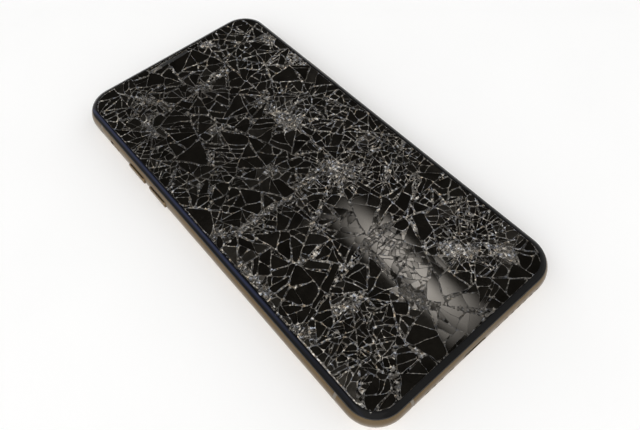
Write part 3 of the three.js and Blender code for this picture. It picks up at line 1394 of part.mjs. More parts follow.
const volumeUpY = HALF_LENGTH - VOLUME_UP_FROM_TOP;
const volumeDownY = HALF_LENGTH - VOLUME_DOWN_FROM_TOP;
const sideButtonY = HALF_LENGTH - SIDE_BUTTON_FROM_TOP;
add("volume_up_button", "goldSteel", sideButton(-1, volumeUpY, VOLUME_BUTTON_LENGTH));
add("volume_down_button", "goldSteel", sideButton(-1, volumeDownY, VOLUME_BUTTON_LENGTH));
add("side_button", "goldSteel", sideButton(1, sideButtonY, SIDE_BUTTON_LENGTH));
add("volume_switch_plate", "flexFilm", switchPlate(-1, [volumeUpY, volumeDownY], VOLUME_BUTTON_LENGTH));
add("side_switch_plate", "flexFilm", switchPlate(1, [sideButtonY], SIDE_BUTTON_LENGTH));
add("ring_switch", "goldSteel", ringSwitch());
add("ring_switch_base", "blackPlastic", ringSwitchBase());
add("card_tray", "goldSteel", cardTray());
add("card_reader", "steel", cardReader());

add("charge_port", "steel", chargePort());
add("port_flex", "flexFilm", portFlex());
add("bottom_screw_left", "steel", bottomScrew(-BOTTOM_SCREW_X));
add("bottom_screw_right", "steel", bottomScrew(BOTTOM_SCREW_X));
add("speaker_mesh", "blackPlastic", meshStrip(SPEAKER_HOLE_FIRST_X, SPEAKER_HOLE_LAST_X));
add("microphone_mesh", "blackPlastic", meshStrip(-MICROPHONE_HOLE_LAST_X, -SPEAKER_HOLE_FIRST_X));
add("loudspeaker", "blackPlastic", loudspeaker());
add("vibration_motor", "steel", vibrationMotor());

add("battery", "batteryFoil", battery());
add("battery_strip_left", "adhesive", batteryStrip(-1));
add("battery_strip_right", "adhesive", batteryStrip(1));
add("main_board", "circuitBoard", mainBoard());
boardScrewPlaces().forEach(([x, y], i) => add(`board_screw_${i + 1}`, "steel", boardScrew(x, y)));
add("shield_upper", "steel", shieldCan(TRAY_Y + READER_HALF, BOARD_STEP_Y - SCREW_ROOM));
add("shield_lower", "steel", shieldCan(CORE_BOTTOM + SCREW_ROOM, TRAY_Y - READER_HALF));
add("display_flex", "flexFilm", displayFlex());

add("sensor_bar", "steel", sensorBar());
add("earpiece_speaker", "blackPlastic", earpieceSpeaker());
add("earpiece_mesh", "blackPlastic", earpieceMesh());
add("front_camera", "blackPlastic", frontCamera());

export default phone;
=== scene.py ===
"""The shattered phone's looks: smooth skins, broken front glass, finishes, studio and camera."""

import math
import random

import bmesh
import bpy
from mathutils import Matrix, Vector, noise


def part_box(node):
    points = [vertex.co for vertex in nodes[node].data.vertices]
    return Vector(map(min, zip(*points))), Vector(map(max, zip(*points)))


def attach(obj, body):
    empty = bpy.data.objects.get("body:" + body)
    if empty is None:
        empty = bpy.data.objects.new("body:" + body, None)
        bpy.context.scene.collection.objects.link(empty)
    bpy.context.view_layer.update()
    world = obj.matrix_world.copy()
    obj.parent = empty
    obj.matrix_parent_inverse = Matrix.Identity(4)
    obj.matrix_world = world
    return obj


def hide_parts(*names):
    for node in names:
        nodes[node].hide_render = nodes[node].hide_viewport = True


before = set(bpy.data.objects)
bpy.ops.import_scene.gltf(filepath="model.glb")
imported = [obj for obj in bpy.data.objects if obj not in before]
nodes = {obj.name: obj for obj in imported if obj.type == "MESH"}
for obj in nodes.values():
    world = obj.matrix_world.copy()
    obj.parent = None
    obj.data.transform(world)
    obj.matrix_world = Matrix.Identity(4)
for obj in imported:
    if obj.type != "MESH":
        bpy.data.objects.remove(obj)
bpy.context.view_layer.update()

MM = 0.001

# Driving sizes in millimetres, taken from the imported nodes
HALF_WIDTH = -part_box("band_left")[0].x / MM
HALF_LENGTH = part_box("band_top")[1].y / MM
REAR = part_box("rear_glass")[0].z / MM
REAR_GLASS_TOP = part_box("rear_glass")[1].z / MM
BAND_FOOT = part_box("band_left")[0].z / MM
BAND_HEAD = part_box("band_left")[1].z / MM
GLASS_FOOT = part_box("cover_glass")[0].z / MM
BEZEL_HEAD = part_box("display_bezel")[1].z / MM

# The phone's section and corners, as in the solids
PHONE_THICKNESS = 7.7
FRONT = REAR + PHONE_THICKNESS
MIDDLE = REAR + PHONE_THICKNESS / 2
SIDE_ROUND_DEPTH = 3.0
SIDE_ROUND_POWER = 2.1
CORNER_RADIUS = 9.7
CORNER_STEPS = 14
PROFILE_STEPS = 12
WAIST_HALF_HEIGHT = 0.1
WAIST_TO_CURVE = 0.5
BAND_WALL = 2.4
BOND_GAP = 0.05
PLAY = 0.3
FLAT_INSET = 2.7
FLAT_HALF_WIDTH = HALF_WIDTH - FLAT_INSET
FLAT_HALF_LENGTH = HALF_LENGTH - FLAT_INSET
RIM_STEP = 0.1
RIM_STEPS = 10
RIM_DROP = 0.02
RIM_CREST = 0.05
RIM_LIP = 0.02
BED_ROOM = 0.1
BEZEL_EDGE = 0.04
BEZEL_WALL = BAND_WALL + 1
REAR_EDGE = 0.08
REAR_STEPS = 9

# The photograph's camera, fitted to the phone's outline
CAMERA_AZIMUTH = -37.209
CAMERA_ELEVATION = 56.933
CAMERA_ROLL = -3.924
CAMERA_DISTANCE = 0.176665
CAMERA_LOOK = (-0.0015, -0.012836, REAR * MM)
FOCAL_PIXELS = 584.091
IMAGE_WIDTH = 640
SENSOR_WIDTH = 36.0
CAMERA_NEAREST = 0.01

# Where the front glass broke, in millimetres on its face
STARS = [
    (-24, 44), (-18, 58), (-8.5, 30.3), (11.9, 16.1), (31, 53.6), (9, -6), (-5.2, 5.3), (-30.6, -2.6),
    (-7.7, -19.3), (-19, -25.5), (13.5, -34.7), (-31.5, -41), (-18.5, -58), (-3, -54.7), (17.7, -52),
    (25.2, -60.5), (30.2, -7.2), (21.9, 42.8), (11.9, 54.5), (21.9, 20.3), (-0.6, 50.7), (-26, 11.1),
]
STAR_HEART = 0.8
STAR_REACH = 15.0
# start, end and half width
CRUSHED_LINES = [
    ((-29, 48.6), (-10, 48.6), 0.35), ((-24, 47), (-24, 42), 0.7), ((-19, 58), (-15, 52), 0.8),
    ((-8.5, 31), (-7.8, 28.5), 1.4), ((-2.5, 50), (1, 47.5), 1.1), ((9.5, 31), (11, 20), 0.7),
    ((11.2, 18.5), (11.8, 15.5), 2.3), ((26, 37), (27, 34.5), 1.0), ((12, 66), (14, 64), 0.9),
    ((30, 54), (31, 52), 1.4), ((-31.5, -1), (-29.5, -3), 1.3), ((-25.6, -5.4), (8.6, -4.7), 0.6),
    ((9, -6), (11, -11), 1.7), ((-8.5, -17), (-7, -20), 0.8), ((-18.6, -24), (-18, -26), 0.8),
    ((-32.2, -13), (-31.2, -27), 1.1), ((-32.6, -38), (-31, -42), 1.0), ((-21, -42), (-15, -43.5), 0.8),
    ((-3.6, -50), (-2.4, -55), 1.3), ((15, -49), (18.5, -53), 1.2), ((24, -58), (26, -61), 1.3),
    ((-6, 6.5), (-4, 4.5), 0.9),
]
CRUSH_UNEVEN = 0.7
CRUSH_FADE = 1.2
# middle, half sizes and area of a shard
DENSE_ZONES = [
    (-21, 57, 12, 9, 6.5), (22, 53, 11, 15, 7.0), (15, 22, 9, 14, 4.5), (25, 16, 8, 13, 6.0),
    (22, -12, 11, 11, 3.2), (8, -6, 9, 6, 3.0), (-10, -6, 17, 3.5, 3.0), (-22, -52, 11, 10, 3.6),
    (22, -49, 11, 13, 3.2), (-29, 28, 4.5, 18, 4.5), (-3, 49, 6, 4, 4.0), (-15, 13, 6, 6, 6.0),
    (0, -52, 4, 8, 3.2), (4, -38, 4.5, 8, 1.8),
]
ZONE_CORE = 0.6
ZONE_FADE = 2.2
# middle and reach
FROSTED_SPOTS = [
    ((31, 53.6), 4.0), ((-3, -53), 4.5), ((25.2, -60.5), 4.0), ((12.5, 65.5), 2.5), ((-31.7, -20), 4.0),
    ((11.9, 16), 4.0), ((9.6, -8), 3.5),
]
# middle and half sizes
CALM_PATCHES = [
    (-17.5, 27.5, 4.5, 5), (-15.5, 43, 3, 3.5), (1.5, 36, 3, 3.5), (22, 33, 3.5, 3.5), (-4.5, 19, 4, 6),
    (3.5, 9.5, 2.5, 3.5), (-31, 6, 2.5, 5), (-10, -1.5, 5, 2.5), (-22, -16, 4, 4), (-20.5, -32, 6.5, 5),
    (5, -25, 3.5, 4), (12.7, -39, 3.5, 3.5), (5, -56, 3, 6), (-10, -63, 5, 3.5), (-2, 64, 10, 6),
]
CALM_CRUSH = 0.5
LADDER_FIRST = ((-20, 18.6), (-12.5, 11.0))
LADDER_STEP = (1.25, 1.3)
LADDER_RUNGS = 7
# painted highlight: a pale strip along the left rim, in two spans
PAINTED_HIGHLIGHT_X = -32.4
PAINTED_HIGHLIGHT_SPANS = [(-32, -23), (-63, -40)]
PAINTED_HIGHLIGHT_REACH = 8

# How the glass broke there: areas, lengths, and shares and angles drawn by chance
BREAK_SEED = 11
OPEN_AREA = 12.0
CALM_AREA = 45.0
AREA_UNEVEN = 0.6
AREA_SPREAD = (0.7, 1.9)
SLIM_AREA = 1.0
LONGEST_GIRTH = 5.4
GRAIN_AREA = 0.3
LEAST_AREA = 0.1
LEAST_CRUMB = 0.025
GAP_CRUMB = 0.75
GRID_UNEVEN = 0.35
THINNEST = 0.24
CUT_TRIES = 5
CUT_SPREAD = 0.16
CUT_STRAY = 0.45
RAY_SHARE = 0.55
RAY_STRAY = 0.12
RING_SHARE = 0.3
SPLINTER_WIDTH = (0.15, 0.4)
SPLINTER_EDGE = 0.9
SPLINTER_SHARE = 0.26
SPLINTER_UNEVEN = 1.6
SPLINTER_STRAY = 0.05
CRUMB_LENGTH = (0.25, 0.8)
CRUMB_STRAY = 0.4

# Slow noise over the glass: wave length and seed
CRUSH_NOISE = (1.8, 21.5)
AREA_NOISE = (7, 33.3)
GAP_NOISE = (3.5, 41.0)
HAZE_NOISE = (9, 51.0)
SPLINTER_NOISE = (12, 61.0)

# How crooked the cracks run: a wide and a fine drift, with their seeds for x and for y
WAVER = 0.5
WAVER_LENGTH = 3.4
CROOK = 0.1
CROOK_LENGTH = 0.7
DRIFT_SEEDS = ((3.1, 5.7), (8.3, 12.9))
STILL_EDGE = 1.0

# How the cracks gape and each shard lies, with tilts in degrees
SOLID_FACE_DEPTH = 0.2
SOLID_FACE_UPRIGHT = 0.9995
SOLID_CRACK_HALF_WIDTH = 0.13
CRACK_FINEST = 0.03
CRACK_WIDEST = 0.17
GAP_EVEN = 0.5
GAP_UNEVEN = 0.9
GAP_WHOLE = 0.7
GAP_CRUSHED = 0.6
GAP_SPREAD = (0.15, 0.9)
GAP_EASE = 0.7
STRAIGHT_TURN = 0.15
LONGEST_MITRE = 3
GROOVE_DEPTH = 0.08
SHARD_FOOT = 0.25
EDGE_STEP = 1.3
RAGGED = 0.05
RAGGED_SHARE = 0.2
CHIPPED_AREA = 0.5
CORNER_CHIP = 0.6
CHIP_OF_SIZE = 0.25
CHIP_OF_EDGE = 0.3
CHIP_OF_FOOT = 0.15
CHIP_SPREAD = (0.25, 1.0)
TILT = 0.25
TILT_CRUSHED = 1.6
TILT_SMALL = 0.5
TILT_SMALL_AREA = 0.6
MOST_RISE = 0.1
LEAST_REACH = 0.1
SUNK = 0.05
SUNK_SPREAD = 0.04
SUNK_CRUSHED = 0.05

# A glass face's finish, by its place in the piece's list
WHOLE = 0
FRACTURED = 1

# How the broken glass shines
GLASS_IOR = 1.5
CRACK_GLOW = 1.32
GROUND_CRUSH = 0.6
GROUND_AREA = 0.8
POWDERED_SHARE = 0.65
HAZE_PATCHES = 0.4
HAZE_CLEAR = 0.1
HAZE_LEAST = 0.02
HAZE_CRUSHED = 0.25
HAZE_FROSTED = 0.8
GLINT_LEAST = 0.12
GLINT_POWER = 1.7
# painted shade on the cracks where the glass mirrors the strip card, and towards the bottom end
MIRROR_STRIP = ((-5, -66), (9, -18))
STRIPE_PAINTED_SHADE = 0.25
END_PAINTED_SHADE = 0.35
END_PAINTED_SHADE_REACH = 13
FAINT_ZONE = (-11, 28, 30, 56)
FAINT_CRACKS = 0.5
FAINT_RISE = 2

# A painted blue reflection along the left rim, put into the front glass's colour
PAINTED_SHEEN_X = 2.0 - HALF_WIDTH
PAINTED_SHEEN_HALF_WIDTH = 0.6
PAINTED_SHEEN_FADE = (-50, -20)
PAINTED_SHEEN_LEAST = 0.15
PAINTED_SHEEN_COLOUR = (0.022, 0.027, 0.056)

# Openings of the band
BUTTON_HEIGHT = 2.4
TRAY_HEIGHT = 1.7
RING_SLOT_HEIGHT = 2.7
RING_SLOT_RADIUS = 0.75
KEY_FLANGE = 0.4
KEY_LIP = 0.6
KEY_ROUND = 0.3
KEY_ROUND_STEPS = 4
SLOT_DEPTH = 2 * BAND_WALL + 2
# node, side, lip at each end, height and corner radius
SIDE_OPENINGS = [
    ("volume_up_button", -1, KEY_LIP, BUTTON_HEIGHT + PLAY, None),
    ("volume_down_button", -1, KEY_LIP, BUTTON_HEIGHT + PLAY, None),
    ("side_button", 1, KEY_LIP, BUTTON_HEIGHT + PLAY, None),
    ("card_tray", 1, 0.0, TRAY_HEIGHT + PLAY, None),
    ("ring_switch", -1, KEY_LIP, RING_SLOT_HEIGHT, RING_SLOT_RADIUS),
]
PORT_SIZE = (8.6, 2.6)
BOTTOM_SCREW_X = 8.6
SCREW_HOLE_RADIUS = 1.0
SPEAKER_HOLE_RADIUS = 0.75
SPEAKER_HOLE_XS = [12.2, 14.7, 17.2, 19.7, 22.2, 24.7, -12.2, -14.7, -17.2]
ANTENNA_SLOT = 1.0
ANTENNA_Y = HALF_LENGTH - 14.0
ANTENNA_X = HALF_WIDTH - 13.4
BREAK_CLEARANCE = 0.01

# Cameras, screws, socket and earpiece
CAMERA_RIM_ROUND = 0.35
CAMERA_RIM_STEPS = 20
CAMERA_RIM_STRAIGHT = 0.01
CAMERA_ROUND_STEPS = 6
CAMERA_HOLE_DEPTH = 6
LENS_WINDOWS = ("camera_window_upper", "camera_window_lower")
LENS_WELL_GAP = 0.15
LENS_WELL_DEPTH = 8
# radius and depth
LENS_STEPS = [(3.3, 0.25), (2.8, 0.5), (2.3, 0.8), (1.8, 1.15)]
LENS_BULGE = 0.55
LENS_SIDES = 48
LENS_GAP = 0.02
STEP_CUT_PAST = 1.0
WINDOW_ROUND = 0.08
FLASH_RINGS = 4
FLASH_RIDGE_WIDTH = 0.22
FLASH_RIDGE_SLOPE = 0.06
FLASH_RIDGE_DEPTH = 0.08
ROUND_SIDES = 64
SCREW_RADIUS = 0.85
SCREW_SIDES = 32
SCREW_ROUND = 0.1
SCREW_HEAD_LENGTH = 2.4
SCREW_SHANK_RADIUS = 0.6
SCREW_SHANK_START = 0.5
SCREW_DRIVE_RADIUS = 0.45
SCREW_DRIVE_DEPTH = 0.4
SCREW_DRIVE_SIDES = 6
TONGUE_THICKNESS = 0.7
CONTACTS = 8
CONTACT_PITCH = 0.72
CONTACT_SET_BACK = 0.6
CONTACT_WIDTH = 0.4
CONTACT_LENGTH = 3.2
CONTACT_HEIGHT = 0.05
EARPIECE_HALF_LENGTH = 5.5
EARPIECE_HALF_WIDTH = 0.65
EARPIECE_Y = HALF_LENGTH - 4.4
EARPIECE_MARGIN = 0.12
EARPIECE_GAP = 0.02
EARPIECE_CUT = 4
WIRE_RADIUS = 0.05
WIRE_PITCH = 0.21
WIRE_SIDES = 6

# Studio, in metres and degrees
FLOOR_SIZE = 12
FLOOR_GLOW = 0.06
DOME_LEVEL = 1.2
FLAG_LEVEL = 0.03
FLAG_TOWARDS = (0.42, 0.55, 1.0)
FLAG_INNER = 31.0
FLAG_OUTER = 43.0
LAMP_PLACE = (-0.7, -0.5, 0.9)
LAMP_SIZE = 1.2
LAMP_POWER = 4.0
LAMP_COLOUR = (1.0, 0.97, 0.93)
CARD_LOW = (0.164, -0.02)
CARD_HIGH = (0.21, 0.2)
CARD_HEIGHT = 0.43
CARD_COLOUR = (1.0, 0.93, 0.84)
CARD_STRENGTH = 20.0
CARD_SOFT_EDGE = 0.7

# Modelling: margins in millimetres, angles in degrees and turns in radians
PILL_MARGIN = 0.03
PILL_STEPS = 8
CAP_CORNERS = 8
WELD = 0.002
FLAT_ANGLE = 0.5
ROUNDED_ANGLE = 40
SMOOTH = 30
SMOOTH_BAND = 25
SMOOTH_GLASS = 35
SMOOTH_LENS = 60
SMALL_ROUND_STEPS = 2
LEVEL_ERROR = 0.001
CUT_ERROR = 0.0001
TINY = 1e-9
UPRIGHT = (0, 0, 0)
SIDEWAYS = (math.radians(90), 0, math.radians(90))
LEFTWARDS = (math.radians(90), 0, math.radians(-90))
ENDWAYS = (math.radians(90), 0, 0)
LENGTHWAYS = (0, 0, math.radians(90))
CROSSWAYS = (0, math.radians(90), 0)


# Modelling helpers


def box_of(node):
    """Middle and size of a CAD node, in millimetres."""
    low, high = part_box(node)
    return (low + high) / 2 / MM, (high - low) / MM


def side_inset(z):
    """How far the phone's side lies inside its widest line at a height: a superellipse."""
    reach = min(1.0, abs(z - MIDDLE) / (PHONE_THICKNESS / 2))
    across = (1 - reach**SIDE_ROUND_POWER) ** (1 / SIDE_ROUND_POWER)
    return SIDE_ROUND_DEPTH * (1 - across)


def side_rows(from_z, to_z, steps):
    """(inset, z) rows along the phone's side."""
    heights = [from_z + (to_z - from_z) * i / steps for i in range(steps + 1)]
    return [(side_inset(z), z) for z in heights]


def deselect_all():
    if bpy.context.mode != "OBJECT":
        bpy.ops.object.mode_set(mode="OBJECT")
    bpy.ops.object.select_all(action="DESELECT")


def take(piece):
    """Makes the piece the only one picked."""
    deselect_all()
    piece.select_set(True)
    bpy.context.view_layer.objects.active = piece


def edit(piece):
    take(piece)
    bpy.ops.object.mode_set(mode="EDIT")
    bpy.ops.mesh.select_mode(type="FACE")


def done():
    bpy.ops.object.mode_set(mode="OBJECT")


def set_in_mesh():
    """Writes the picked piece's place, turn and scale into its mesh."""
    bpy.ops.object.transform_apply(location=True, rotation=True, scale=True)


def looks_up(face):
    return face.normal.z > 0.5


def looks_down(face):
    return face.normal.z < -0.5


def is_cap(face):
    """Whether a face is a flat end, with the corners of a whole outline."""
    return len(face.verts) > CAP_CORNERS


def lies_at(face, z):
    return abs(face.calc_center_median().z - z * MM) < LEVEL_ERROR * MM


def pick_faces(piece, test):
    """Picks the faces that pass the test, in edit mode."""
    shape = bmesh.from_edit_mesh(piece.data)
    for face in shape.faces:
        face.select_set(False)
    for face in shape.faces:
        if test(face):
            face.select_set(True)
    bmesh.update_edit_mesh(piece.data)


def sheet(name, half_x, half_y, radius, z, corner_steps=CORNER_STEPS):
    """A flat sheet with round corners, left in edit mode with its face picked."""
    deselect_all()
    bpy.ops.mesh.primitive_plane_add(size=2, location=(0, 0, z * MM))
    piece = bpy.context.object
    piece.name = name
    piece.data.name = name
    piece.scale = (half_x * MM, half_y * MM, 1)
    set_in_mesh()
    edit(piece)
    bpy.ops.mesh.select_all(action="SELECT")
    bpy.ops.mesh.select_mode(type="VERT")
    bpy.ops.mesh.bevel(offset=radius * MM, segments=corner_steps, affect="VERTICES")
    bpy.ops.mesh.select_mode(type="FACE")
    bpy.ops.mesh.select_all(action="SELECT")
    return piece


def phone_sheet(name, inset, z):
    return sheet(name, HALF_WIDTH - inset, HALF_LENGTH - inset, CORNER_RADIUS - inset, z)


def raise_face(height):
    bpy.ops.mesh.extrude_region_move(TRANSFORM_OT_translate={"value": (0, 0, height * MM)})


def draw_in(rows):
    """Carries the picked face on through (inset, z) rows that narrow towards the end."""
    for (inset, z), (next_inset, next_z) in zip(rows, rows[1:]):
        bpy.ops.mesh.inset(thickness=(next_inset - inset) * MM, depth=abs(next_z - z) * MM)


def quarter_round(radius, steps):
    """(inset, height) rows of a rounded edge."""
    turns = [math.pi / 2 * i / steps for i in range(steps + 1)]
    return [(radius * (1 - math.cos(a)), radius * math.sin(a)) for a in turns]


def recess(inset, depth):
    bpy.ops.mesh.inset(thickness=inset * MM, depth=-depth * MM)


def faces_outward(piece):
    edit(piece)
    bpy.ops.mesh.select_all(action="SELECT")
    bpy.ops.mesh.normals_make_consistent(inside=False)
    done()


def apply_modifier(piece, modifier):
    take(piece)
    bpy.ops.object.modifier_apply(modifier=modifier.name)


def combine(piece, operation, others):
    """Cuts other shapes out of the piece, or joins them to it, and throws them away."""
    for other in others:
        step = piece.modifiers.new("combine", "BOOLEAN")
        step.operation = operation
        step.solver = "EXACT"
        step.object = other
        apply_modifier(piece, step)
        bpy.data.objects.remove(other)


def carve(piece, cutters):
    combine(piece, "DIFFERENCE", cutters)


def unite(piece, other):
    combine(piece, "UNION", [other])


def round_edges(piece, width, segments):
    bevel = piece.modifiers.new("round", "BEVEL")
    bevel.width = width * MM
    bevel.segments = segments
    bevel.limit_method = "ANGLE"
    bevel.angle_limit = math.radians(ROUNDED_ANGLE)
    bevel.use_clamp_overlap = False
    apply_modifier(piece, bevel)


def pill_bar(name, length, height, depth, place, turn, radius=None):
    """A bar with a pill section, or a gentler corner: length along its x and depth along its z."""
    most = min(length, height) / 2 - PILL_MARGIN
    bar = sheet(name, length / 2, height / 2, min(most, radius or most), -depth / 2, PILL_STEPS)
    raise_face(depth)
    done()
    faces_outward(bar)
    bar.rotation_euler = turn
    bar.location = [c * MM for c in place]
    take(bar)
    set_in_mesh()
    return bar


def round_bar(name, radius, depth, place, turn, sides=24):
    deselect_all()
    bpy.ops.mesh.primitive_cylinder_add(
        vertices=sides, radius=radius * MM, depth=depth * MM,
        location=[c * MM for c in place], rotation=turn,
    )
    bar = bpy.context.object
    bar.name = name
    set_in_mesh()
    return bar


def gathered(name, pieces):
    """Many small pieces as one object."""
    take(pieces[0])
    for piece in pieces:
        piece.select_set(True)
    bpy.ops.object.join()
    pieces[0].name = name
    pieces[0].data.name = name
    return pieces[0]


def copy_of(piece, name):
    """A copy with its own mesh."""
    copy = piece.copy()
    copy.data = piece.data.copy()
    copy.name = name
    copy.data.name = name
    bpy.context.scene.collection.objects.link(copy)
    return copy


def keep_side(piece, point, outward):
    """Cuts the piece by a plane, drops what lies beyond it and closes the cut."""
    edit(piece)
    bpy.ops.mesh.select_all(action="SELECT")
    bpy.ops.mesh.bisect(
        plane_co=[c * MM for c in point], plane_no=outward,
        use_fill=True, clear_outer=True, threshold=CUT_ERROR * MM,
    )
    done()


def merged_copy(node, name):
    """A CAD node's mesh as a welded copy."""
    piece = copy_of(nodes[node], name)
    for key in [k for k in piece.keys() if k.startswith("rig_")]:
        del piece[key]
    piece.parent = None
    edit(piece)
    bpy.ops.mesh.select_all(action="SELECT")
    bpy.ops.mesh.remove_doubles(threshold=WELD * MM)
    bpy.ops.mesh.customdata_custom_splitnormals_clear()
    bpy.ops.mesh.dissolve_limited(angle_limit=math.radians(FLAT_ANGLE))
    done()
    return piece


def seat(piece, slot, *stands_for, body="phone_body"):
    """Hangs a finished piece under its body and hides the nodes that it stands for; its slot is not used.
    """
    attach(piece, body)
    if stands_for:
        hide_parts(*stands_for)


def settle(piece, slot, *stands_for, smooth=0, finish=None, **seating):
    """Shades a piece smooth below an angle, gives it the finish of its slot and seats it."""
    if smooth:
        take(piece)
        bpy.ops.object.shade_smooth_by_angle(angle=math.radians(smooth))
    piece.data.materials.clear()
    piece.data.materials.append(finish or FINISHES[slot])
    seat(piece, slot, *stands_for, **seating)


# Finishes


class Finish:
    """A material and short ways to add nodes to it."""

    def __init__(self, name):
        self.material = bpy.data.materials.new(name)
        self.material.use_nodes = True
        self.tree = self.material.node_tree
        self.shader = self.tree.nodes["Principled BSDF"]
        self.place = self.add("ShaderNodeTexCoord").outputs["Object"]

    def add(self, kind, **settings):
        node = self.tree.nodes.new(kind)
        for key, value in settings.items():
            setattr(node, key, value)
        return node

    def feed(self, socket, value):
        if isinstance(value, bpy.types.NodeSocket):
            self.tree.links.new(value, socket)
        else:
            socket.default_value = value

    def set(self, **inputs):
        """Sets or links the shader's sockets by their names, with spaces as underscores."""
        for key, value in inputs.items():
            self.feed(self.shader.inputs[key.replace("_", " ")], value)

    def stretched(self, scale):
        mapping = self.add("ShaderNodeMapping")
        self.feed(mapping.inputs["Vector"], self.place)
        mapping.inputs["Scale"].default_value = scale
        return mapping.outputs["Vector"]

    def axes(self):
        """The place's X, Y and Z by themselves."""
        node = self.add("ShaderNodeSeparateXYZ")
        self.feed(node.inputs["Vector"], self.place)
        return node.outputs

    def noise(self, size, detail, rough, place=None):
        """Noise with features of about the given size in millimetres."""
        node = self.add("ShaderNodeTexNoise")
        self.feed(node.inputs["Vector"], place or self.place)
        node.inputs["Scale"].default_value = 1 / (size * MM)
        node.inputs["Detail"].default_value = detail
        node.inputs["Roughness"].default_value = rough
        return node.outputs["Fac"]

    def attribute(self, name):
        return self.add("ShaderNodeAttribute", attribute_name=name).outputs["Fac"]

    def span(self, value, low, high, to_low=0.0, to_high=1.0):
        """Carries a value's span low to high over to another span, clamped."""
        node = self.add("ShaderNodeMapRange", clamp=True)
        self.feed(node.inputs["Value"], value)
        node.inputs["From Min"].default_value = low
        node.inputs["From Max"].default_value = high
        node.inputs["To Min"].default_value = to_low
        node.inputs["To Max"].default_value = to_high
        return node.outputs["Result"]

    def math(self, operation, a, b=0.0):
        node = self.add("ShaderNodeMath", operation=operation)
        self.feed(node.inputs[0], a)
        self.feed(node.inputs[1], b)
        return node.outputs["Value"]

    def product(self, value, *others):
        for other in others:
            value = self.math("MULTIPLY", value, other)
        return value

    def blend(self, a, share, b):
        """One value by its share and another by the rest."""
        return self.math("ADD", self.product(a, share), self.product(b, 1 - share))

    def ramp(self, value, stops):
        """Colours along a value: (position, colour) stops."""
        node = self.add("ShaderNodeValToRGB")
        self.feed(node.inputs["Fac"], value)
        line = node.color_ramp.elements
        while len(line) < len(stops):
            line.new(0.5)
        for element, (position, colour) in zip(line, stops):
            element.position = position
            element.color = (*colour, 1)
        return node.outputs["Color"]

    def mix(self, share, a, b):
        node = self.add("ShaderNodeMix", data_type="RGBA")
        self.feed(node.inputs["Factor"], share)
        for socket, colour in ((node.inputs[6], a), (node.inputs[7], b)):
            self.feed(socket, colour if isinstance(colour, bpy.types.NodeSocket) else (*colour, 1))
        return node.outputs[2]

    def bump(self, height, strength, depth):
        """Relief of the given depth in millimetres."""
        node = self.add("ShaderNodeBump")
        node.inputs["Strength"].default_value = strength
        node.inputs["Distance"].default_value = depth * MM
        self.feed(node.inputs["Height"], height)
        self.feed(self.shader.inputs["Normal"], node.outputs["Normal"])


def polished_black_glass():
    """The front glass where it is whole: black behind, smeared, with a painted blue reflection along the
    left rim.
    """
    f = Finish("polished_black_glass")
    smears = f.noise(7, 4, 0.6, f.stretched((1, 0.35, 1)))
    black = f.ramp(smears, [(0.3, (0.0035, 0.0034, 0.0036)), (0.8, (0.007, 0.0068, 0.0068))])
    axes = f.axes()
    # painted reflection: a blue strip mixed into the base colour along the left rim, weaker towards the
    # bottom end
    off_line = f.math("ABSOLUTE", f.math("SUBTRACT", axes["X"], PAINTED_SHEEN_X * MM))
    fade_from, fade_to = [y * MM for y in PAINTED_SHEEN_FADE]
    painted_sheen = f.product(
        f.span(off_line, 0.0, PAINTED_SHEEN_HALF_WIDTH * MM, 1.0, 0.0),
        f.span(axes["Y"], fade_from, fade_to, PAINTED_SHEEN_LEAST, 1.0),
    )
    f.set(
        Base_Color=f.mix(painted_sheen, black, PAINTED_SHEEN_COLOUR),
        Roughness=f.span(smears, 0.35, 0.75, 0.03, 0.1),
        IOR=GLASS_IOR,
        Specular_IOR_Level=0.08,
    )
    return f.material


def shard_face():
    """A shard's own face: black glass with smears, and a haze where it came loose."""
    f = Finish("shard_face")
    smears = f.noise(5, 4, 0.6)
    haze = f.attribute("haze")
    patches = f.span(f.noise(1.6, 5, 0.65), 0.4, 0.75)
    veil = f.product(haze, f.span(patches, 0, 1, 0.35, 1.0))
    black = f.ramp(smears, [(0.3, (0.0026, 0.0022, 0.0017)), (0.8, (0.0085, 0.0074, 0.0058))])
    f.set(
        Base_Color=f.mix(veil, black, (0.24, 0.22, 0.19)),
        Roughness=f.span(veil, 0.0, 0.8, 0.045, 0.4),
        IOR=GLASS_IOR,
        Specular_IOR_Level=0.2,
    )
    f.bump(smears, 0.12, 0.02)
    return f.material


def fracture_face():
    """Frosted broken glass: pale and warm, with bright grains that are partly painted sparkle, and painted
    glints of blue and amber for reflections inside the glass.
    """
    f = Finish("fracture_face")
    breaks = f.noise(1.5, 4, 0.7)
    # partly painted highlight: small bright specks stand for sparkle
    grain_and_painted_sparkle = f.noise(0.5, 2, 0.5)
    # the glint attribute brings in painted shade and a painted highlight set per shard
    level = f.product(
        f.span(breaks, 0.38, 0.62, 0.35, 1.0),
        f.span(grain_and_painted_sparkle, 0.47, 0.63, 0.22, 1.0),
        f.attribute("glint"),
        CRACK_GLOW,
    )
    # painted reflection: blue and amber tints for glints inside the broken glass
    tint = f.ramp(f.noise(0.9, 1, 0.5), [
        (0.34, (0.8, 0.86, 1.0)),
        (0.44, (0.98, 0.93, 0.85)),
        (0.6, (0.98, 0.91, 0.8)),
        (0.7, (1.0, 0.8, 0.56)),
    ])
    colour = f.mix(level, (0.012, 0.0105, 0.009), tint)
    f.set(Base_Color=colour, Roughness=f.span(grain_and_painted_sparkle, 0.3, 0.7, 0.2, 0.6), IOR=GLASS_IOR)
    return f.material


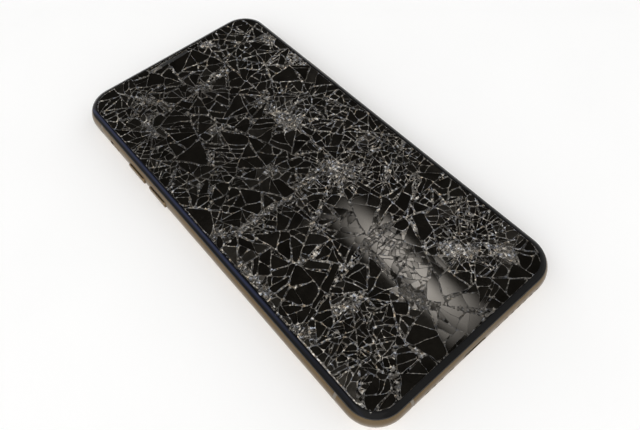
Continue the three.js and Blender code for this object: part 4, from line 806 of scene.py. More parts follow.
def gold_steel():
    """Polished gold-brown coating, with fine brushing, smears and rubbed grey patches."""
    f = Finish("gold_steel")
    brushing = f.noise(0.12, 2, 0.5, f.stretched((0.04, 0.04, 1)))
    smears = f.noise(9, 4, 0.6)
    rubbed = f.span(f.noise(22, 3, 0.55), 0.45, 0.8, 0.0, 0.6)
    gold = f.ramp(smears, [(0.25, (0.142, 0.099, 0.053)), (0.75, (0.178, 0.126, 0.07))])
    colour = f.mix(rubbed, gold, (0.19, 0.158, 0.118))
    rough = f.math("ADD", f.span(smears, 0.3, 0.7, 0.2, 0.34), f.span(brushing, 0.3, 0.7, -0.03, 0.05))
    f.set(Base_Color=colour, Metallic=1.0, Roughness=rough)
    f.bump(brushing, 0.06, 0.01)
    return f.material


def grained(name, dark, light, rough, size, metallic=0.0):
    """A plain finish with a fine grain, uneven colour and uneven gloss."""
    f = Finish(name)
    grain = f.noise(size, 3, 0.6)
    uneven = f.noise(6, 3, 0.5)
    share = f.blend(grain, 0.45, uneven)
    f.set(Base_Color=f.ramp(share, [(0.3, dark), (0.7, light)]), Metallic=metallic)
    f.set(Roughness=f.span(grain, 0.3, 0.7, rough - 0.07, rough + 0.07))
    f.bump(grain, 0.1, 0.02)
    return f.material


def clear_glass():
    """A clear window with faint smears."""
    f = Finish("clear_window")
    smears = f.noise(3, 3, 0.6)
    tint = f.ramp(smears, [(0.3, (0.86, 0.88, 0.9)), (0.7, (0.95, 0.95, 0.96))])
    rough = f.span(smears, 0.35, 0.75, 0.0, 0.04)
    f.set(Base_Color=tint, Transmission_Weight=1.0, IOR=GLASS_IOR, Roughness=rough)
    return f.material


def coated_lens():
    """A dark lens with a violet and green coat."""
    f = Finish("coated_lens")
    bands = f.noise(2.2, 2, 0.4)
    colour = f.ramp(bands, [
        (0.35, (0.006, 0.004, 0.02)),
        (0.5, (0.02, 0.008, 0.05)),
        (0.65, (0.004, 0.02, 0.022)),
    ])
    f.set(Base_Color=colour, Roughness=f.span(bands, 0.3, 0.7, 0.02, 0.06), IOR=1.7)
    return f.material


def gloss_rear_glass():
    """Pale gold paint seen through polished glass."""
    f = Finish("gloss_rear_glass")
    smears = f.noise(12, 4, 0.6)
    flecks = f.noise(0.25, 2, 0.5)
    share = f.blend(smears, 0.7, flecks)
    colour = f.ramp(share, [(0.3, (0.55, 0.43, 0.3)), (0.7, (0.585, 0.46, 0.325))])
    f.set(Base_Color=colour, Roughness=f.span(smears, 0.35, 0.7, 0.06, 0.16), IOR=GLASS_IOR)
    return f.material


# dark colour, light colour, roughness, size of the grain and, where it is a metal, metallic
PLAIN_FINISHES = {
    "antenna_plastic": ((0.125, 0.105, 0.08), (0.17, 0.145, 0.112), 0.5, 0.2),
    "black_plastic": ((0.008, 0.008, 0.0085), (0.016, 0.0155, 0.015), 0.5, 0.2),
    "display_panel": ((0.004, 0.004, 0.005), (0.008, 0.008, 0.009), 0.25, 0.1),
    "flash_window": ((0.72, 0.66, 0.46), (0.84, 0.8, 0.64), 0.3, 0.3),
    "steel": ((0.36, 0.36, 0.37), (0.5, 0.5, 0.51), 0.32, 0.3, 1.0),
    "copper": ((0.36, 0.13, 0.05), (0.5, 0.2, 0.08), 0.35, 0.3, 1.0),
    "ferrite": ((0.016, 0.016, 0.017), (0.03, 0.03, 0.031), 0.8, 0.3),
    "circuit_board": ((0.004, 0.012, 0.009), (0.01, 0.024, 0.018), 0.45, 0.6),
    "battery_foil": ((0.008, 0.008, 0.009), (0.016, 0.016, 0.017), 0.4, 0.5),
    "adhesive": ((0.6, 0.6, 0.58), (0.75, 0.75, 0.73), 0.7, 0.5),
    "flex_film": ((0.028, 0.012, 0.004), (0.05, 0.024, 0.009), 0.45, 0.4),
}
FINISHES = {name: grained(name, *recipe) for name, recipe in PLAIN_FINISHES.items()}
FINISHES["gold_steel"] = gold_steel()
FINISHES["rear_glass"] = gloss_rear_glass()
FINISHES["clear_window"] = clear_glass()
FINISHES["shattered_glass"] = polished_black_glass()
SHARD_FACE = shard_face()
FRACTURE_FACE = fracture_face()


def dress_solids():
    """Every CAD node gets the worked finish of its slot: blackPlastic gets black_plastic."""
    for node in nodes.values():
        for place in node.material_slots:
            given = place.material.name.split(".")[0]
            slot = "".join("_" + c.lower() if c.isupper() else c for c in given)
            place.material = FINISHES[slot]


# Front glass


def clamped(share):
    return max(0.0, min(1.0, share))


def between(a, b, share):
    """The point at a share of the way from a to b."""
    return a[0] + share * (b[0] - a[0]), a[1] + share * (b[1] - a[1])


def heading(angle):
    return math.cos(angle), math.sin(angle)


def sides_of(loop):
    """Each corner of a loop with the next one."""
    return zip(loop, loop[1:] + loop[:1])


def area_of(loop):
    total = 0.0
    for (x, y, _), (nx, ny, _) in sides_of(loop):
        total += x * ny - nx * y
    return total / 2


def girth_of(loop):
    return sum(math.hypot(nx - x, ny - y) for (x, y, _), (nx, ny, _) in sides_of(loop))


def centre_of(loop):
    return sum(c[0] for c in loop) / len(loop), sum(c[1] for c in loop) / len(loop)


def farthest_corner(loop, x, y):
    return max(loop, key=lambda c: math.dist(c[:2], (x, y)))[:2]


def across_angle(far, x, y):
    """The angle square to the way from a loop's centre to its farthest corner."""
    return math.atan2(far[1] - y, far[0] - x) + math.pi / 2


def parted(loop, point, along, gap):
    """The two parts of a loop cut by a line, or None. A corner is (x, y, half gap of the edge after it)."""
    across = (-along[1], along[0])
    side = [(x - point[0]) * across[0] + (y - point[1]) * across[1] for x, y, _ in loop]
    crossings = 0
    near, far = [], []
    for i, (x, y, edge_gap) in enumerate(loop):
        j = (i + 1) % len(loop)
        (near if side[i] >= 0 else far).append(loop[i])
        if (side[i] >= 0) != (side[j] >= 0):
            crossings += 1
            at = between((x, y), loop[j], side[i] / (side[i] - side[j]))
            leaving, entering = (near, far) if side[i] >= 0 else (far, near)
            leaving.append((*at, gap))
            entering.append((*at, edge_gap))
    if crossings != 2:
        return None
    return near, far


def sound(loop):
    """Whether a loop is big and broad enough for a shard."""
    area = area_of(loop)
    return len(loop) > 2 and area > LEAST_AREA and area > THINNEST * (girth_of(loop) / 4) ** 2


def moved_corners(loop, inward=1.0):
    """The loop's corners with every edge drawn in by its half gap."""
    corners = []
    count = len(loop)
    for i in range(count):
        px, py, before = loop[i - 1]
        x, y, after = loop[i]
        nx, ny, _ = loop[(i + 1) % count]
        ux, uy = x - px, y - py
        wx, wy = nx - x, ny - y
        u = math.hypot(ux, uy) or TINY
        w = math.hypot(wx, wy) or TINY
        ux, uy, wx, wy = ux / u, uy / u, wx / w, wy / w
        turn = ux * wy - uy * wx
        if abs(turn) < STRAIGHT_TURN:
            d = (before + after) / 2
            mx, my = -(uy + wy) / 2, (ux + wx) / 2
            corners.append((x + inward * mx * d, y + inward * my * d))
            continue
        # both edges' lines, moved along their inward normals, meet here
        dx = (before * wx - after * ux) / turn
        dy = (before * wy - after * uy) / turn
        most = LONGEST_MITRE * max(before, after)
        long = math.hypot(dx, dy)
        if long > most:
            dx, dy = dx * most / long, dy * most / long
        corners.append((x + inward * dx, y + inward * dy))
    return corners


def flow(x, y, length, seed):
    """Slow noise over the glass, about -1 to 1."""
    return noise.noise((x / length, y / length, seed))


def wavered(x, y):
    """Cracks run crooked: every point of the glass drifts a little, but not at the rim."""
    dx, dy = [
        WAVER * flow(x, y, WAVER_LENGTH, wide_seed) + CROOK * flow(x, y, CROOK_LENGTH, fine_seed)
        for wide_seed, fine_seed in DRIFT_SEEDS
    ]
    room = min(FLAT_HALF_WIDTH - abs(x), FLAT_HALF_LENGTH - abs(y))
    share = clamped(room / STILL_EDGE)
    return x + dx * share, y + dy * share


def ragged(point, centre, chance):
    """Chips a shard's edge: draws a point of it towards the middle by a chance amount."""
    away = math.dist(point, centre) or 1.0
    return between(centre, point, 1 - min(RAGGED_SHARE * away, RAGGED * chance.random()) / away)


def away_from_line(x, y, start, end):
    (ax, ay), (bx, by) = start, end
    vx, vy = bx - ax, by - ay
    t = clamped(((x - ax) * vx + (y - ay) * vy) / (vx * vx + vy * vy))
    return math.hypot(x - ax - t * vx, y - ay - t * vy)


def crush(x, y):
    """1 inside a crushed line of glass, falling to 0 a few millimetres off."""
    best = 0.0
    uneven = 1 + CRUSH_UNEVEN * flow(x, y, *CRUSH_NOISE)
    for start, end, half_width in CRUSHED_LINES:
        off = away_from_line(x, y, start, end) - half_width * uneven
        best = max(best, 1 - max(0.0, off) / (CRUSH_FADE + half_width))
    return max(0.0, best)


def frost(x, y):
    """1 in the middle of a frosted spot, falling to 0 at its rim."""
    return max(max(0.0, 1 - math.dist((x, y), spot) / reach) for spot, reach in FROSTED_SPOTS)


def calm(x, y):
    return any(((x - cx) / rx) ** 2 + ((y - cy) / ry) ** 2 < 1 for cx, cy, rx, ry in CALM_PATCHES)


def wanted_area(x, y):
    """How big a shard stays at a place on the glass."""
    area = OPEN_AREA
    for zx, zy, rx, ry, cell in DENSE_ZONES:
        q = ((x - zx) / rx) ** 2 + ((y - zy) / ry) ** 2
        area = min(area, cell * (1 + max(0.0, q - ZONE_CORE) * ZONE_FADE))
    area *= 1 + AREA_UNEVEN * flow(x, y, *AREA_NOISE)
    crushed = crush(x, y)
    if crushed > 0:
        area = min(area, GRAIN_AREA + (1 - crushed) ** 2 * area)
    if calm(x, y) and crushed < CALM_CRUSH:
        area = CALM_AREA
    return area


def crack_gap(x, y):
    """Half the width of a crack at a place."""
    share = clamped(GAP_EVEN + GAP_UNEVEN * flow(x, y, *GAP_NOISE)) ** 2
    return CRACK_FINEST + (CRACK_WIDEST - CRACK_FINEST) * share * (GAP_WHOLE + GAP_CRUSHED * crush(x, y))


def crack_brightness(x, y):
    """Cracks are darker in the mirrored stripe and towards the bottom end, which is painted shade, and
    dimmer in the faint zone.
    """
    (left, low), (right, high) = MIRROR_STRIP
    # painted shade where the glass mirrors the strip card
    if left < x < right and low < y < high:
        return STRIPE_PAINTED_SHADE
    # painted shade, darker towards the bottom end
    from_end = y + HALF_LENGTH - FLAT_INSET
    painted_end_shade = min(1.0, END_PAINTED_SHADE + (1 - END_PAINTED_SHADE) * from_end / END_PAINTED_SHADE_REACH)
    middle_x, middle_y, reach_x, reach_y = FAINT_ZONE
    depth = 1 - min(1.0, math.hypot((x - middle_x) / reach_x, (y - middle_y) / reach_y))
    return painted_end_shade * (1 - FAINT_CRACKS * min(1.0, FAINT_RISE * depth))


def solid_fragments():
    """Outlines of the fragments that the solid's face is broken into, grown to where they met."""
    mesh = nodes["cover_glass"].data
    level = (FRONT - SOLID_FACE_DEPTH) * MM

    def corner(index):
        x, y, z = mesh.vertices[index].co
        return round(x / MM, 3), round(y / MM, 3), round(z / MM, 3)

    steps = set()
    for face in mesh.polygons:
        if face.normal.z > SOLID_FACE_UPRIGHT and face.center.z > level:
            steps.update(sides_of([corner(v) for v in face.vertices]))
    onward = {a: b for a, b in steps if (b, a) not in steps}
    loops = []
    while onward:
        start, at = onward.popitem()
        loop = [start]
        while at != start and at in onward:
            loop.append(at)
            at = onward.pop(at)
        if len(loop) > 2 and at == start:
            grown = [(x, y, SOLID_CRACK_HALF_WIDTH) for x, y, _ in loop]
            loops.append([(x, y, 0.0) for x, y in moved_corners(grown, -1.0)])
    return sorted(loops)


def holds(loop, x, y):
    """Whether a point lies inside a loop."""
    inside = False
    for (ax, ay, _), (bx, by, _) in sides_of(loop):
        if (ay > y) != (by > y) and x < ax + (y - ay) / (by - ay) * (bx - ax):
            inside = not inside
    return inside


def on_flat_face(x, y):
    """Whether a point lies on the flat of the glass, clear of its rim and of the earpiece slot."""
    in_x, in_y = FLAT_HALF_WIDTH - abs(x), FLAT_HALF_LENGTH - abs(y)
    turn = CORNER_RADIUS - FLAT_INSET
    if in_x < turn and in_y < turn and math.hypot(turn - in_x, turn - in_y) > turn:
        return False
    past_end = abs(x) > EARPIECE_HALF_LENGTH + GAP_CRUMB
    past_side = abs(y - EARPIECE_Y) > EARPIECE_HALF_WIDTH + GAP_CRUMB
    return min(in_x, in_y) > 0 and (past_end or past_side)


def crumbled_gaps(fragments, chance):
    """Crumbs where the solid's face has no fragment: the cells of an uneven grid that lie off them all."""
    boxes = []
    for loop in fragments:
        xs, ys = [c[0] for c in loop], [c[1] for c in loop]
        boxes.append((min(xs), max(xs), min(ys), max(ys), loop))
    columns, rows = int(HALF_WIDTH / GAP_CRUMB), int(HALF_LENGTH / GAP_CRUMB)
    corner = {}
    for i in range(-columns, columns + 1):
        for j in range(-rows, rows + 1):
            spot = [k + chance.uniform(-GRID_UNEVEN, GRID_UNEVEN) for k in (i, j)]
            corner[i, j] = (spot[0] * GAP_CRUMB, spot[1] * GAP_CRUMB)
    crumbs = []
    for i in range(-columns, columns):
        for j in range(-rows, rows):
            ring = [corner[i, j], corner[i + 1, j], corner[i + 1, j + 1], corner[i, j + 1]]
            loop = [(*c, CRACK_FINEST) for c in ring]
            x, y = centre_of(loop)
            if on_flat_face(x, y) and not any(
                left < x < right and low < y < high and holds(shape, x, y)
                for left, right, low, high, shape in boxes
            ):
                crumbs.append(loop)
    return crumbs


def clear_of_earpiece(loop):
    """The parts of a loop that lie beside the earpiece slot."""
    half_length = EARPIECE_HALF_LENGTH + EARPIECE_MARGIN
    left, right = -half_length, half_length
    low = EARPIECE_Y - EARPIECE_HALF_WIDTH - EARPIECE_MARGIN
    high = EARPIECE_Y + EARPIECE_HALF_WIDTH + EARPIECE_MARGIN
    xs, ys = [c[0] for c in loop], [c[1] for c in loop]
    if max(xs) < left or min(xs) > right or max(ys) < low or min(ys) > high:
        return [loop]
    slot_sides = [((0, high), (1, 0)), ((0, low), (-1, 0)), ((left, 0), (0, 1)), ((right, 0), (0, -1))]
    parts, rest = [], loop
    for point, along in slot_sides:
        halves = parted(rest, point, along, EARPIECE_GAP)
        if halves is None:
            x, y = centre_of(rest)
            if (x - point[0]) * -along[1] + (y - point[1]) * along[0] > 0:
                return parts + [rest]
            continue
        parts.append(halves[0])
        rest = halves[1]
    return parts


def crack_along(shards, start, end):
    """A straight crack through the shards that lie on it."""
    long = math.dist(start, end)
    along = ((end[0] - start[0]) / long, (end[1] - start[1]) / long)
    result = []
    for loop in shards:
        x, y = centre_of(loop)
        reach = (x - start[0]) * along[0] + (y - start[1]) * along[1]
        halves = parted(loop, start, along, crack_gap(x, y)) if 0 < reach < long else None
        result.extend(halves if halves and all(map(sound, halves)) else [loop])
    return result


def crack_direction(loop, x, y, chance, slim):
    """Across the loop's long way, or out from the nearest star, or round it."""
    star = min(STARS, key=lambda s: math.dist(s, (x, y)))
    away = math.dist(star, (x, y))
    if not slim and STAR_HEART < away < STAR_REACH and chance.random() < RAY_SHARE:
        angle = math.atan2(y - star[1], x - star[0]) + chance.gauss(0, RAY_STRAY)
        if chance.random() < RING_SHARE:
            angle += math.pi / 2
    else:
        angle = across_angle(farthest_corner(loop, x, y), x, y) + chance.gauss(0, CUT_STRAY)
    return heading(angle)


def broken_down(loop, chance):
    """Breaks a loop until its parts are as small as its place asks for."""
    x, y = centre_of(loop)
    area = area_of(loop)
    slim = area > SLIM_AREA and girth_of(loop) > LONGEST_GIRTH * math.sqrt(area)
    if area < wanted_area(x, y) * chance.uniform(*AREA_SPREAD) and not slim:
        return [loop]
    spread = CUT_SPREAD * math.sqrt(area)
    for _ in range(CUT_TRIES):
        point = (x + chance.gauss(0, spread), y + chance.gauss(0, spread))
        along = crack_direction(loop, x, y, chance, slim)
        halves = parted(loop, point, along, crack_gap(*point) * chance.uniform(*GAP_SPREAD))
        if halves and all(map(sound, halves)):
            return broken_down(halves[0], chance) + broken_down(halves[1], chance)
    return [loop]


def cut_across(splinter, chance):
    """Breaks a splinter across its length."""
    x, y = centre_of(splinter)
    far = farthest_corner(splinter, x, y)
    if math.dist(far, (x, y)) < chance.uniform(*CRUMB_LENGTH):
        return [splinter]
    angle = across_angle(far, x, y) + chance.gauss(0, CRUMB_STRAY)
    halves = parted(splinter, (x, y), heading(angle), CRACK_FINEST)
    if not halves or min(map(area_of, halves)) < LEAST_CRUMB:
        return [splinter]
    return cut_across(halves[0], chance) + cut_across(halves[1], chance)


def splintered(loop, chance):
    """A shard, and the splinters that came off along some of its edges."""
    rest, splinters = loop, []
    for (ax, ay, _), (bx, by, _) in sides_of(loop):
        share = SPLINTER_SHARE * (1 + SPLINTER_UNEVEN * flow(ax + bx, ay + by, *SPLINTER_NOISE))
        if math.dist((ax, ay), (bx, by)) < SPLINTER_EDGE or chance.random() > share:
            continue
        along = heading(math.atan2(by - ay, bx - ax) + chance.gauss(0, SPLINTER_STRAY))
        off = chance.uniform(*SPLINTER_WIDTH)
        point = ((ax + bx) / 2 - off * along[1], (ay + by) / 2 + off * along[0])
        halves = parted(rest, point, along, CRACK_FINEST)
        if halves and sound(halves[0]) and area_of(halves[1]) > LEAST_CRUMB:
            rest = halves[0]
            splinters.extend(cut_across(halves[1], chance))
    return rest, splinters


def painted_highlight_strip(loop):
    """A shard, and the strip broken off it along the rim, which is given the pale fractured face at full
    glint as a painted highlight.
    """
    x, y = centre_of(loop)
    if x > PAINTED_HIGHLIGHT_X + PAINTED_HIGHLIGHT_REACH or not any(low < y < high for low, high in PAINTED_HIGHLIGHT_SPANS):
        return loop, []
    halves = parted(loop, (PAINTED_HIGHLIGHT_X, 0), (0, 1), CRACK_FINEST)
    return (halves[1], [halves[0]]) if halves else (loop, [])


def shard_loops(chance):
    """Every bit of the broken glass as a loop, with its kind."""
    fragments = solid_fragments()
    shards = []
    for loop in fragments:
        shards.append([
            (x, y, crack_gap((x + nx) / 2, (y + ny) / 2)) for (x, y, _), (nx, ny, _) in sides_of(loop)
        ])
    for i in range(LADDER_RUNGS):
        start, end = [(x + i * LADDER_STEP[0], y + i * LADDER_STEP[1]) for x, y in LADDER_FIRST]
        shards = crack_along(shards, start, end)
    broken = [(crumb, "crumb") for crumb in crumbled_gaps(fragments, chance)]
    for loop in shards:
        for part in broken_down(loop, chance):
            part, strips = painted_highlight_strip(part)
            broken.extend((strip, "painted highlight") for strip in strips)
            rest, splinters = splintered(part, chance)
            broken.extend((p, "shard") for p in clear_of_earpiece(rest))
            broken.extend((p, "crumb") for splinter in splinters for p in clear_of_earpiece(splinter))
    return [(loop, kind) for loop, kind in broken if area_of(loop) > LEAST_CRUMB]


def chipped(foot, face, area, chance):
    """Breaks the corners off a shard's face, and doubles those of its foot to match."""
    new_foot, new_face = [], []
    count = len(face)
    most = min(CORNER_CHIP, CHIP_OF_SIZE * math.sqrt(area))
    for i in range(count):
        before, after = i - 1, (i + 1) % count
        chip = most * chance.uniform(*CHIP_SPREAD)
        for ring, result, size in ((face, new_face, chip), (foot, new_foot, CHIP_OF_FOOT * chip)):
            for other in (before, after):
                away = math.dist(ring[i], ring[other]) or 1.0
                result.append(between(ring[i], ring[other], min(CHIP_OF_EDGE, size / away)))
    return new_foot, new_face


def with_steps(foot, face):
    """Adds points along long edges, to both of a shard's outlines alike."""
    more_foot, more_face = [], []
    for (a, b), (c, d) in zip(sides_of(foot), sides_of(face)):
        parts = max(1, round(math.dist(a, b) / EDGE_STEP))
        for k in range(parts):
            more_foot.append(between(a, b, k / parts))
            more_face.append(between(c, d, k / parts))
    return more_foot, more_face


def shard_rings(loop, thin, crushed, chance):
    """A shard's outlines from its tilted face, down its sloping broken side, to its hidden foot."""
    area, girth = area_of(loop), girth_of(loop)
    x, y = centre_of(loop)
    widest = max(c[2] for c in loop)
    ease = min(1.0, GAP_EASE * area / girth / max(widest, TINY))
    foot = [c[:2] for c in loop]
    face = moved_corners([(cx, cy, gap * ease) for cx, cy, gap in loop])
    if area > CHIPPED_AREA:
        foot, face = chipped(foot, face, area, chance)
        foot, face = with_steps(foot, face)
    foot = [wavered(*p) for p in foot]
    face = [ragged(wavered(*p), (x, y), chance) for p in face]
    slope = math.radians(TILT + TILT_CRUSHED * crushed + TILT_SMALL / (TILT_SMALL_AREA + area))
    reach = max(math.dist(p, (x, y)) for p in face)
    most = MOST_RISE / max(reach, LEAST_REACH)
    tilt = [max(-most, min(most, chance.gauss(0, slope))) for _ in range(2)]
    top = FRONT - SUNK - SUNK_SPREAD * chance.random() - SUNK_CRUSHED * crushed * chance.random()
    rings = [[(px, py, top + tilt[0] * (px - x) + tilt[1] * (py - y)) for px, py in face]]
    if not thin:
        rings.append([(px, py, top - GROOVE_DEPTH) for px, py in foot])
    rings.append([(px, py, top - SHARD_FOOT) for px, py in foot])
    return rings


def glass_piece(name, solids):
    """One piece of many closed bits of glass: (outlines, face finish, haze, glint) each."""
    points, faces, finish, haze, glint = [], [], [], [], []
    for rings, face_finish, mist, shine in solids:
        first, count = len(points), len(rings[0])
        for ring in rings:
            points.extend(ring)
        new = [[first + i for i in range(count)]]
        for upper in range(first, first + count * (len(rings) - 1), count):
            for i in range(count):
                j = (i + 1) % count
                new.append([upper + i, upper + count + i, upper + count + j, upper + j])
        new.append([len(points) - 1 - i for i in range(count)])
        faces.extend(new)
        finish.extend([face_finish] + [FRACTURED] * (len(new) - 1))
        haze.extend([mist] * len(new))
        glint.extend([shine] * len(new))
    mesh = bpy.data.meshes.new(name)
    mesh.from_pydata([[c * MM for c in p] for p in points], [], faces)
    mesh.materials.append(SHARD_FACE)
    mesh.materials.append(FRACTURE_FACE)
    mesh.polygons.foreach_set("material_index", finish)
    for kind, values in (("haze", haze), ("glint", glint)):
        mesh.attributes.new(kind, "FLOAT", "FACE").data.foreach_set("value", values)
    mesh.update()
    piece = bpy.data.objects.new(name, mesh)
    bpy.context.scene.collection.objects.link(piece)
    seat(piece, "shattered_glass")


def shattered_face():
    """The broken glass: the shards, and the crumbs along the cracks between them."""
    chance = random.Random(BREAK_SEED)
    shards, crumbs = [], []
    for loop, kind in shard_loops(chance):
        x, y = centre_of(loop)
        crushed = crush(x, y)
        rings = shard_rings(loop, kind != "shard", crushed, chance)
        ground = kind == "crumb" or (crushed > GROUND_CRUSH and area_of(loop) < GROUND_AREA)
        # the highlight strip always gets the pale fractured face: painted highlight
        powdered = kind == "painted highlight" or (ground and chance.random() < POWDERED_SHARE)
        patch = max(0.0, HAZE_PATCHES * flow(x, y, *HAZE_NOISE) - HAZE_CLEAR)
        mist = patch * chance.random() + HAZE_LEAST * chance.random()
        mist += (HAZE_CRUSHED * crushed + HAZE_FROSTED * frost(x, y)) * chance.random()
        shine = GLINT_LEAST + (1 - GLINT_LEAST) * chance.random() ** GLINT_POWER
        # full glint on the highlight strip is a painted highlight; elsewhere crack_brightness darkens it,
        # partly as painted shade
        shine = 1.0 if kind == "painted highlight" else shine * crack_brightness(x, y)
        face_finish = FRACTURED if powdered else WHOLE
        (shards if kind == "shard" else crumbs).append((rings, face_finish, min(1.0, mist), shine))
    glass_piece("glass_shards", shards)
    glass_piece("glass_crumbs", crumbs)


def glass_tray():
    """The whole part of the front glass: its rounded rim and the layer that the shards still stick to."""
    edge, crest = side_inset(GLASS_FOOT), FRONT - RIM_DROP
    tray = phone_sheet("glass_rim", edge, GLASS_FOOT)
    raise_face(RIM_STEP)
    rows = [(edge, GLASS_FOOT + RIM_STEP)] + side_rows(GLASS_FOOT + 2 * RIM_STEP, crest, RIM_STEPS)
    draw_in([row for row in rows if row[0] < FLAT_INSET - RIM_CREST] + [(FLAT_INSET, crest)])
    recess(RIM_LIP, SHARD_FOOT + BED_ROOM)
    done()
    faces_outward(tray)
    length, width = 2 * EARPIECE_HALF_LENGTH, 2 * EARPIECE_HALF_WIDTH
    carve(tray, [pill_bar("slot", length, width, EARPIECE_CUT, (0, EARPIECE_Y, FRONT), UPRIGHT)])
    settle(tray, "shattered_glass", "cover_glass", smooth=SMOOTH_GLASS)


# Band, bezel and rear glass


def side_slot(node, side, lip, height, radius):
    """A slot through the band's side, for the outer face of a key or tray."""
    low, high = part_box(node)
    length = (high.y - low.y) / MM - 2 * lip + PLAY
    place = (side * HALF_WIDTH, (low.y + high.y) / 2 / MM, MIDDLE)
    return pill_bar("slot", length, height, SLOT_DEPTH, place, SIDEWAYS, radius)


def end_hole(x, radius):
    return round_bar("hole", radius, SLOT_DEPTH, (x, -HALF_LENGTH, MIDDLE), ENDWAYS)


def skin_ring(name, skin_gap=0.0):
    """The phone's side over the band's height as a ring with a plain inner wall."""
    ring = phone_sheet(name, skin_gap, MIDDLE - WAIST_HALF_HEIGHT)
    raise_face(2 * WAIST_HALF_HEIGHT)
    for way, end, faces_end in ((1, BAND_HEAD, looks_up), (-1, BAND_FOOT, looks_down)):
        pick_faces(ring, faces_end)
        curve = side_rows(MIDDLE + way * WAIST_TO_CURVE, end, PROFILE_STEPS)
        rows = [(skin_gap, MIDDLE + way * WAIST_HALF_HEIGHT)]
        rows += [(inset + skin_gap, z) for inset, z in curve]
        draw_in(rows + [(BAND_WALL, end)])
    pick_faces(ring, lambda f: is_cap(f) and any(lies_at(f, z) for z in (BAND_HEAD, BAND_FOOT)))
    bpy.ops.mesh.bridge_edge_loops()
    done()
    faces_outward(ring)
    return ring


def band():
    """The steel band with its openings, parted by the plastic breaks."""
    ring = skin_ring("band_ring")
    cutters = [side_slot(*opening) for opening in SIDE_OPENINGS]
    cutters.append(pill_bar("slot", *PORT_SIZE, SLOT_DEPTH, (0, -HALF_LENGTH, MIDDLE), ENDWAYS))
    cutters += [end_hole(side * BOTTOM_SCREW_X, SCREW_HOLE_RADIUS) for side in (-1, 1)]
    cutters += [end_hole(x, SPEAKER_HOLE_RADIUS) for x in SPEAKER_HOLE_XS]
    carve(ring, cutters)
    half = ANTENNA_SLOT / 2
    near_y, far_y = ANTENNA_Y - half, ANTENNA_Y + half
    near_x, far_x = ANTENNA_X - half, ANTENNA_X + half
    long_side = [((0, near_y, 0), (0, 1, 0)), ((0, -near_y, 0), (0, -1, 0))]
    top_end, bottom_end = ((0, far_y, 0), (0, -1, 0)), ((0, -far_y, 0), (0, 1, 0))
    cuts = {
        "band_left": [((0, 0, 0), (1, 0, 0)), *long_side],
        "band_right": [((0, 0, 0), (-1, 0, 0)), *long_side],
        "band_top": [top_end, ((near_x, 0, 0), (1, 0, 0))],
        "band_top_corner": [top_end, ((far_x, 0, 0), (-1, 0, 0))],
        "band_bottom": [bottom_end, ((-near_x, 0, 0), (-1, 0, 0))],
        "band_bottom_corner": [bottom_end, ((-far_x, 0, 0), (1, 0, 0))],
    }
    for name, planes in cuts.items():
        piece = copy_of(ring, name + "_skin")
        for point, outward in planes:
            keep_side(piece, point, outward)
        faces_outward(piece)
        settle(piece, "gold_steel", name, smooth=SMOOTH_BAND)
    bpy.data.objects.remove(ring)


def antenna_breaks():
    """The plastic breaks of the band, each with its side of the phone and its place along it."""
    ring = skin_ring("break_ring", BOND_GAP)
    half = ANTENNA_SLOT / 2 - BREAK_CLEARANCE
    places = {
        "antenna_break_left_lower": (-1, 0, -ANTENNA_Y), "antenna_break_left_upper": (-1, 0, ANTENNA_Y),
        "antenna_break_right_lower": (1, 0, -ANTENNA_Y), "antenna_break_right_upper": (1, 0, ANTENNA_Y),
        "antenna_break_bottom": (0, -1, -ANTENNA_X), "antenna_break_top": (0, 1, ANTENNA_X),
    }
    for name, (side_x, side_y, at) in places.items():
        piece = copy_of(ring, name + "_skin")
        keep_side(piece, (0, 0, 0), (-side_x, -side_y, 0))
        along = Vector((abs(side_y), abs(side_x), 0))
        keep_side(piece, along * (at + half), along)
        keep_side(piece, along * (at - half), -along)
        faces_outward(piece)
        settle(piece, "antenna_plastic", name, smooth=SMOOTH_BAND)
    bpy.data.objects.remove(ring)


def bezel():
    """The black ring between the band and the glass."""
    foot, head = BAND_HEAD + BOND_GAP, BEZEL_HEAD
    edge = side_inset(foot)
    piece = phone_sheet("bezel_ring", edge, foot)
    raise_face(BEZEL_EDGE)
    draw_in([(edge, foot + BEZEL_EDGE), (side_inset(head), head), (BEZEL_WALL, head)])
    pick_faces(piece, lambda f: is_cap(f) and looks_down(f))
    draw_in([(edge, foot), (BEZEL_WALL, foot)])
    pick_faces(piece, is_cap)
    bpy.ops.mesh.bridge_edge_loops()
    done()
    faces_outward(piece)
    settle(piece, "black_plastic", "display_bezel", smooth=SMOOTH_GLASS)


def rear_cover():
    """The rear glass with the opening for the camera rim."""
    edge = side_inset(REAR_GLASS_TOP)
    cover = phone_sheet("rear_cover", edge, REAR_GLASS_TOP - REAR_EDGE)
    raise_face(REAR_EDGE)
    pick_faces(cover, looks_down)
    rows = [(edge, REAR_GLASS_TOP - REAR_EDGE)]
    draw_in(rows + side_rows(REAR_GLASS_TOP - 2 * REAR_EDGE, REAR, REAR_STEPS))
    done()
    faces_outward(cover)
    middle, size = box_of("camera_rim")
    place = (middle.x, middle.y, REAR)
    carve(cover, [pill_bar("hole", size.y + PLAY, size.x + PLAY, CAMERA_HOLE_DEPTH, place, LENGTHWAYS)])
    settle(cover, "rear_glass", "rear_glass", smooth=SMOOTH)


# Keys and ring switch


def key(node, name, body, side):
    """A cap through the band's side, rounded outside, with the flange that keeps it in."""
    low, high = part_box(node)
    outer, inner = [side * f(abs(low.x), abs(high.x)) / MM for f in (max, min)]
    middle, size = box_of(node)
    turn = SIDEWAYS if side > 0 else LEFTWARDS
    place = ((outer + inner) / 2, middle.y, middle.z)
    cap = pill_bar(name, size.y - 2 * KEY_LIP, size.z, abs(outer - inner), place, turn)
    round_edges(cap, KEY_ROUND, KEY_ROUND_STEPS)
    flange_place = (inner + side * KEY_FLANGE / 2, middle.y, middle.z)
    unite(cap, pill_bar("flange", size.y, size.z, KEY_FLANGE, flange_place, turn))
    settle(cap, "gold_steel", node, body=body, smooth=SMOOTH)


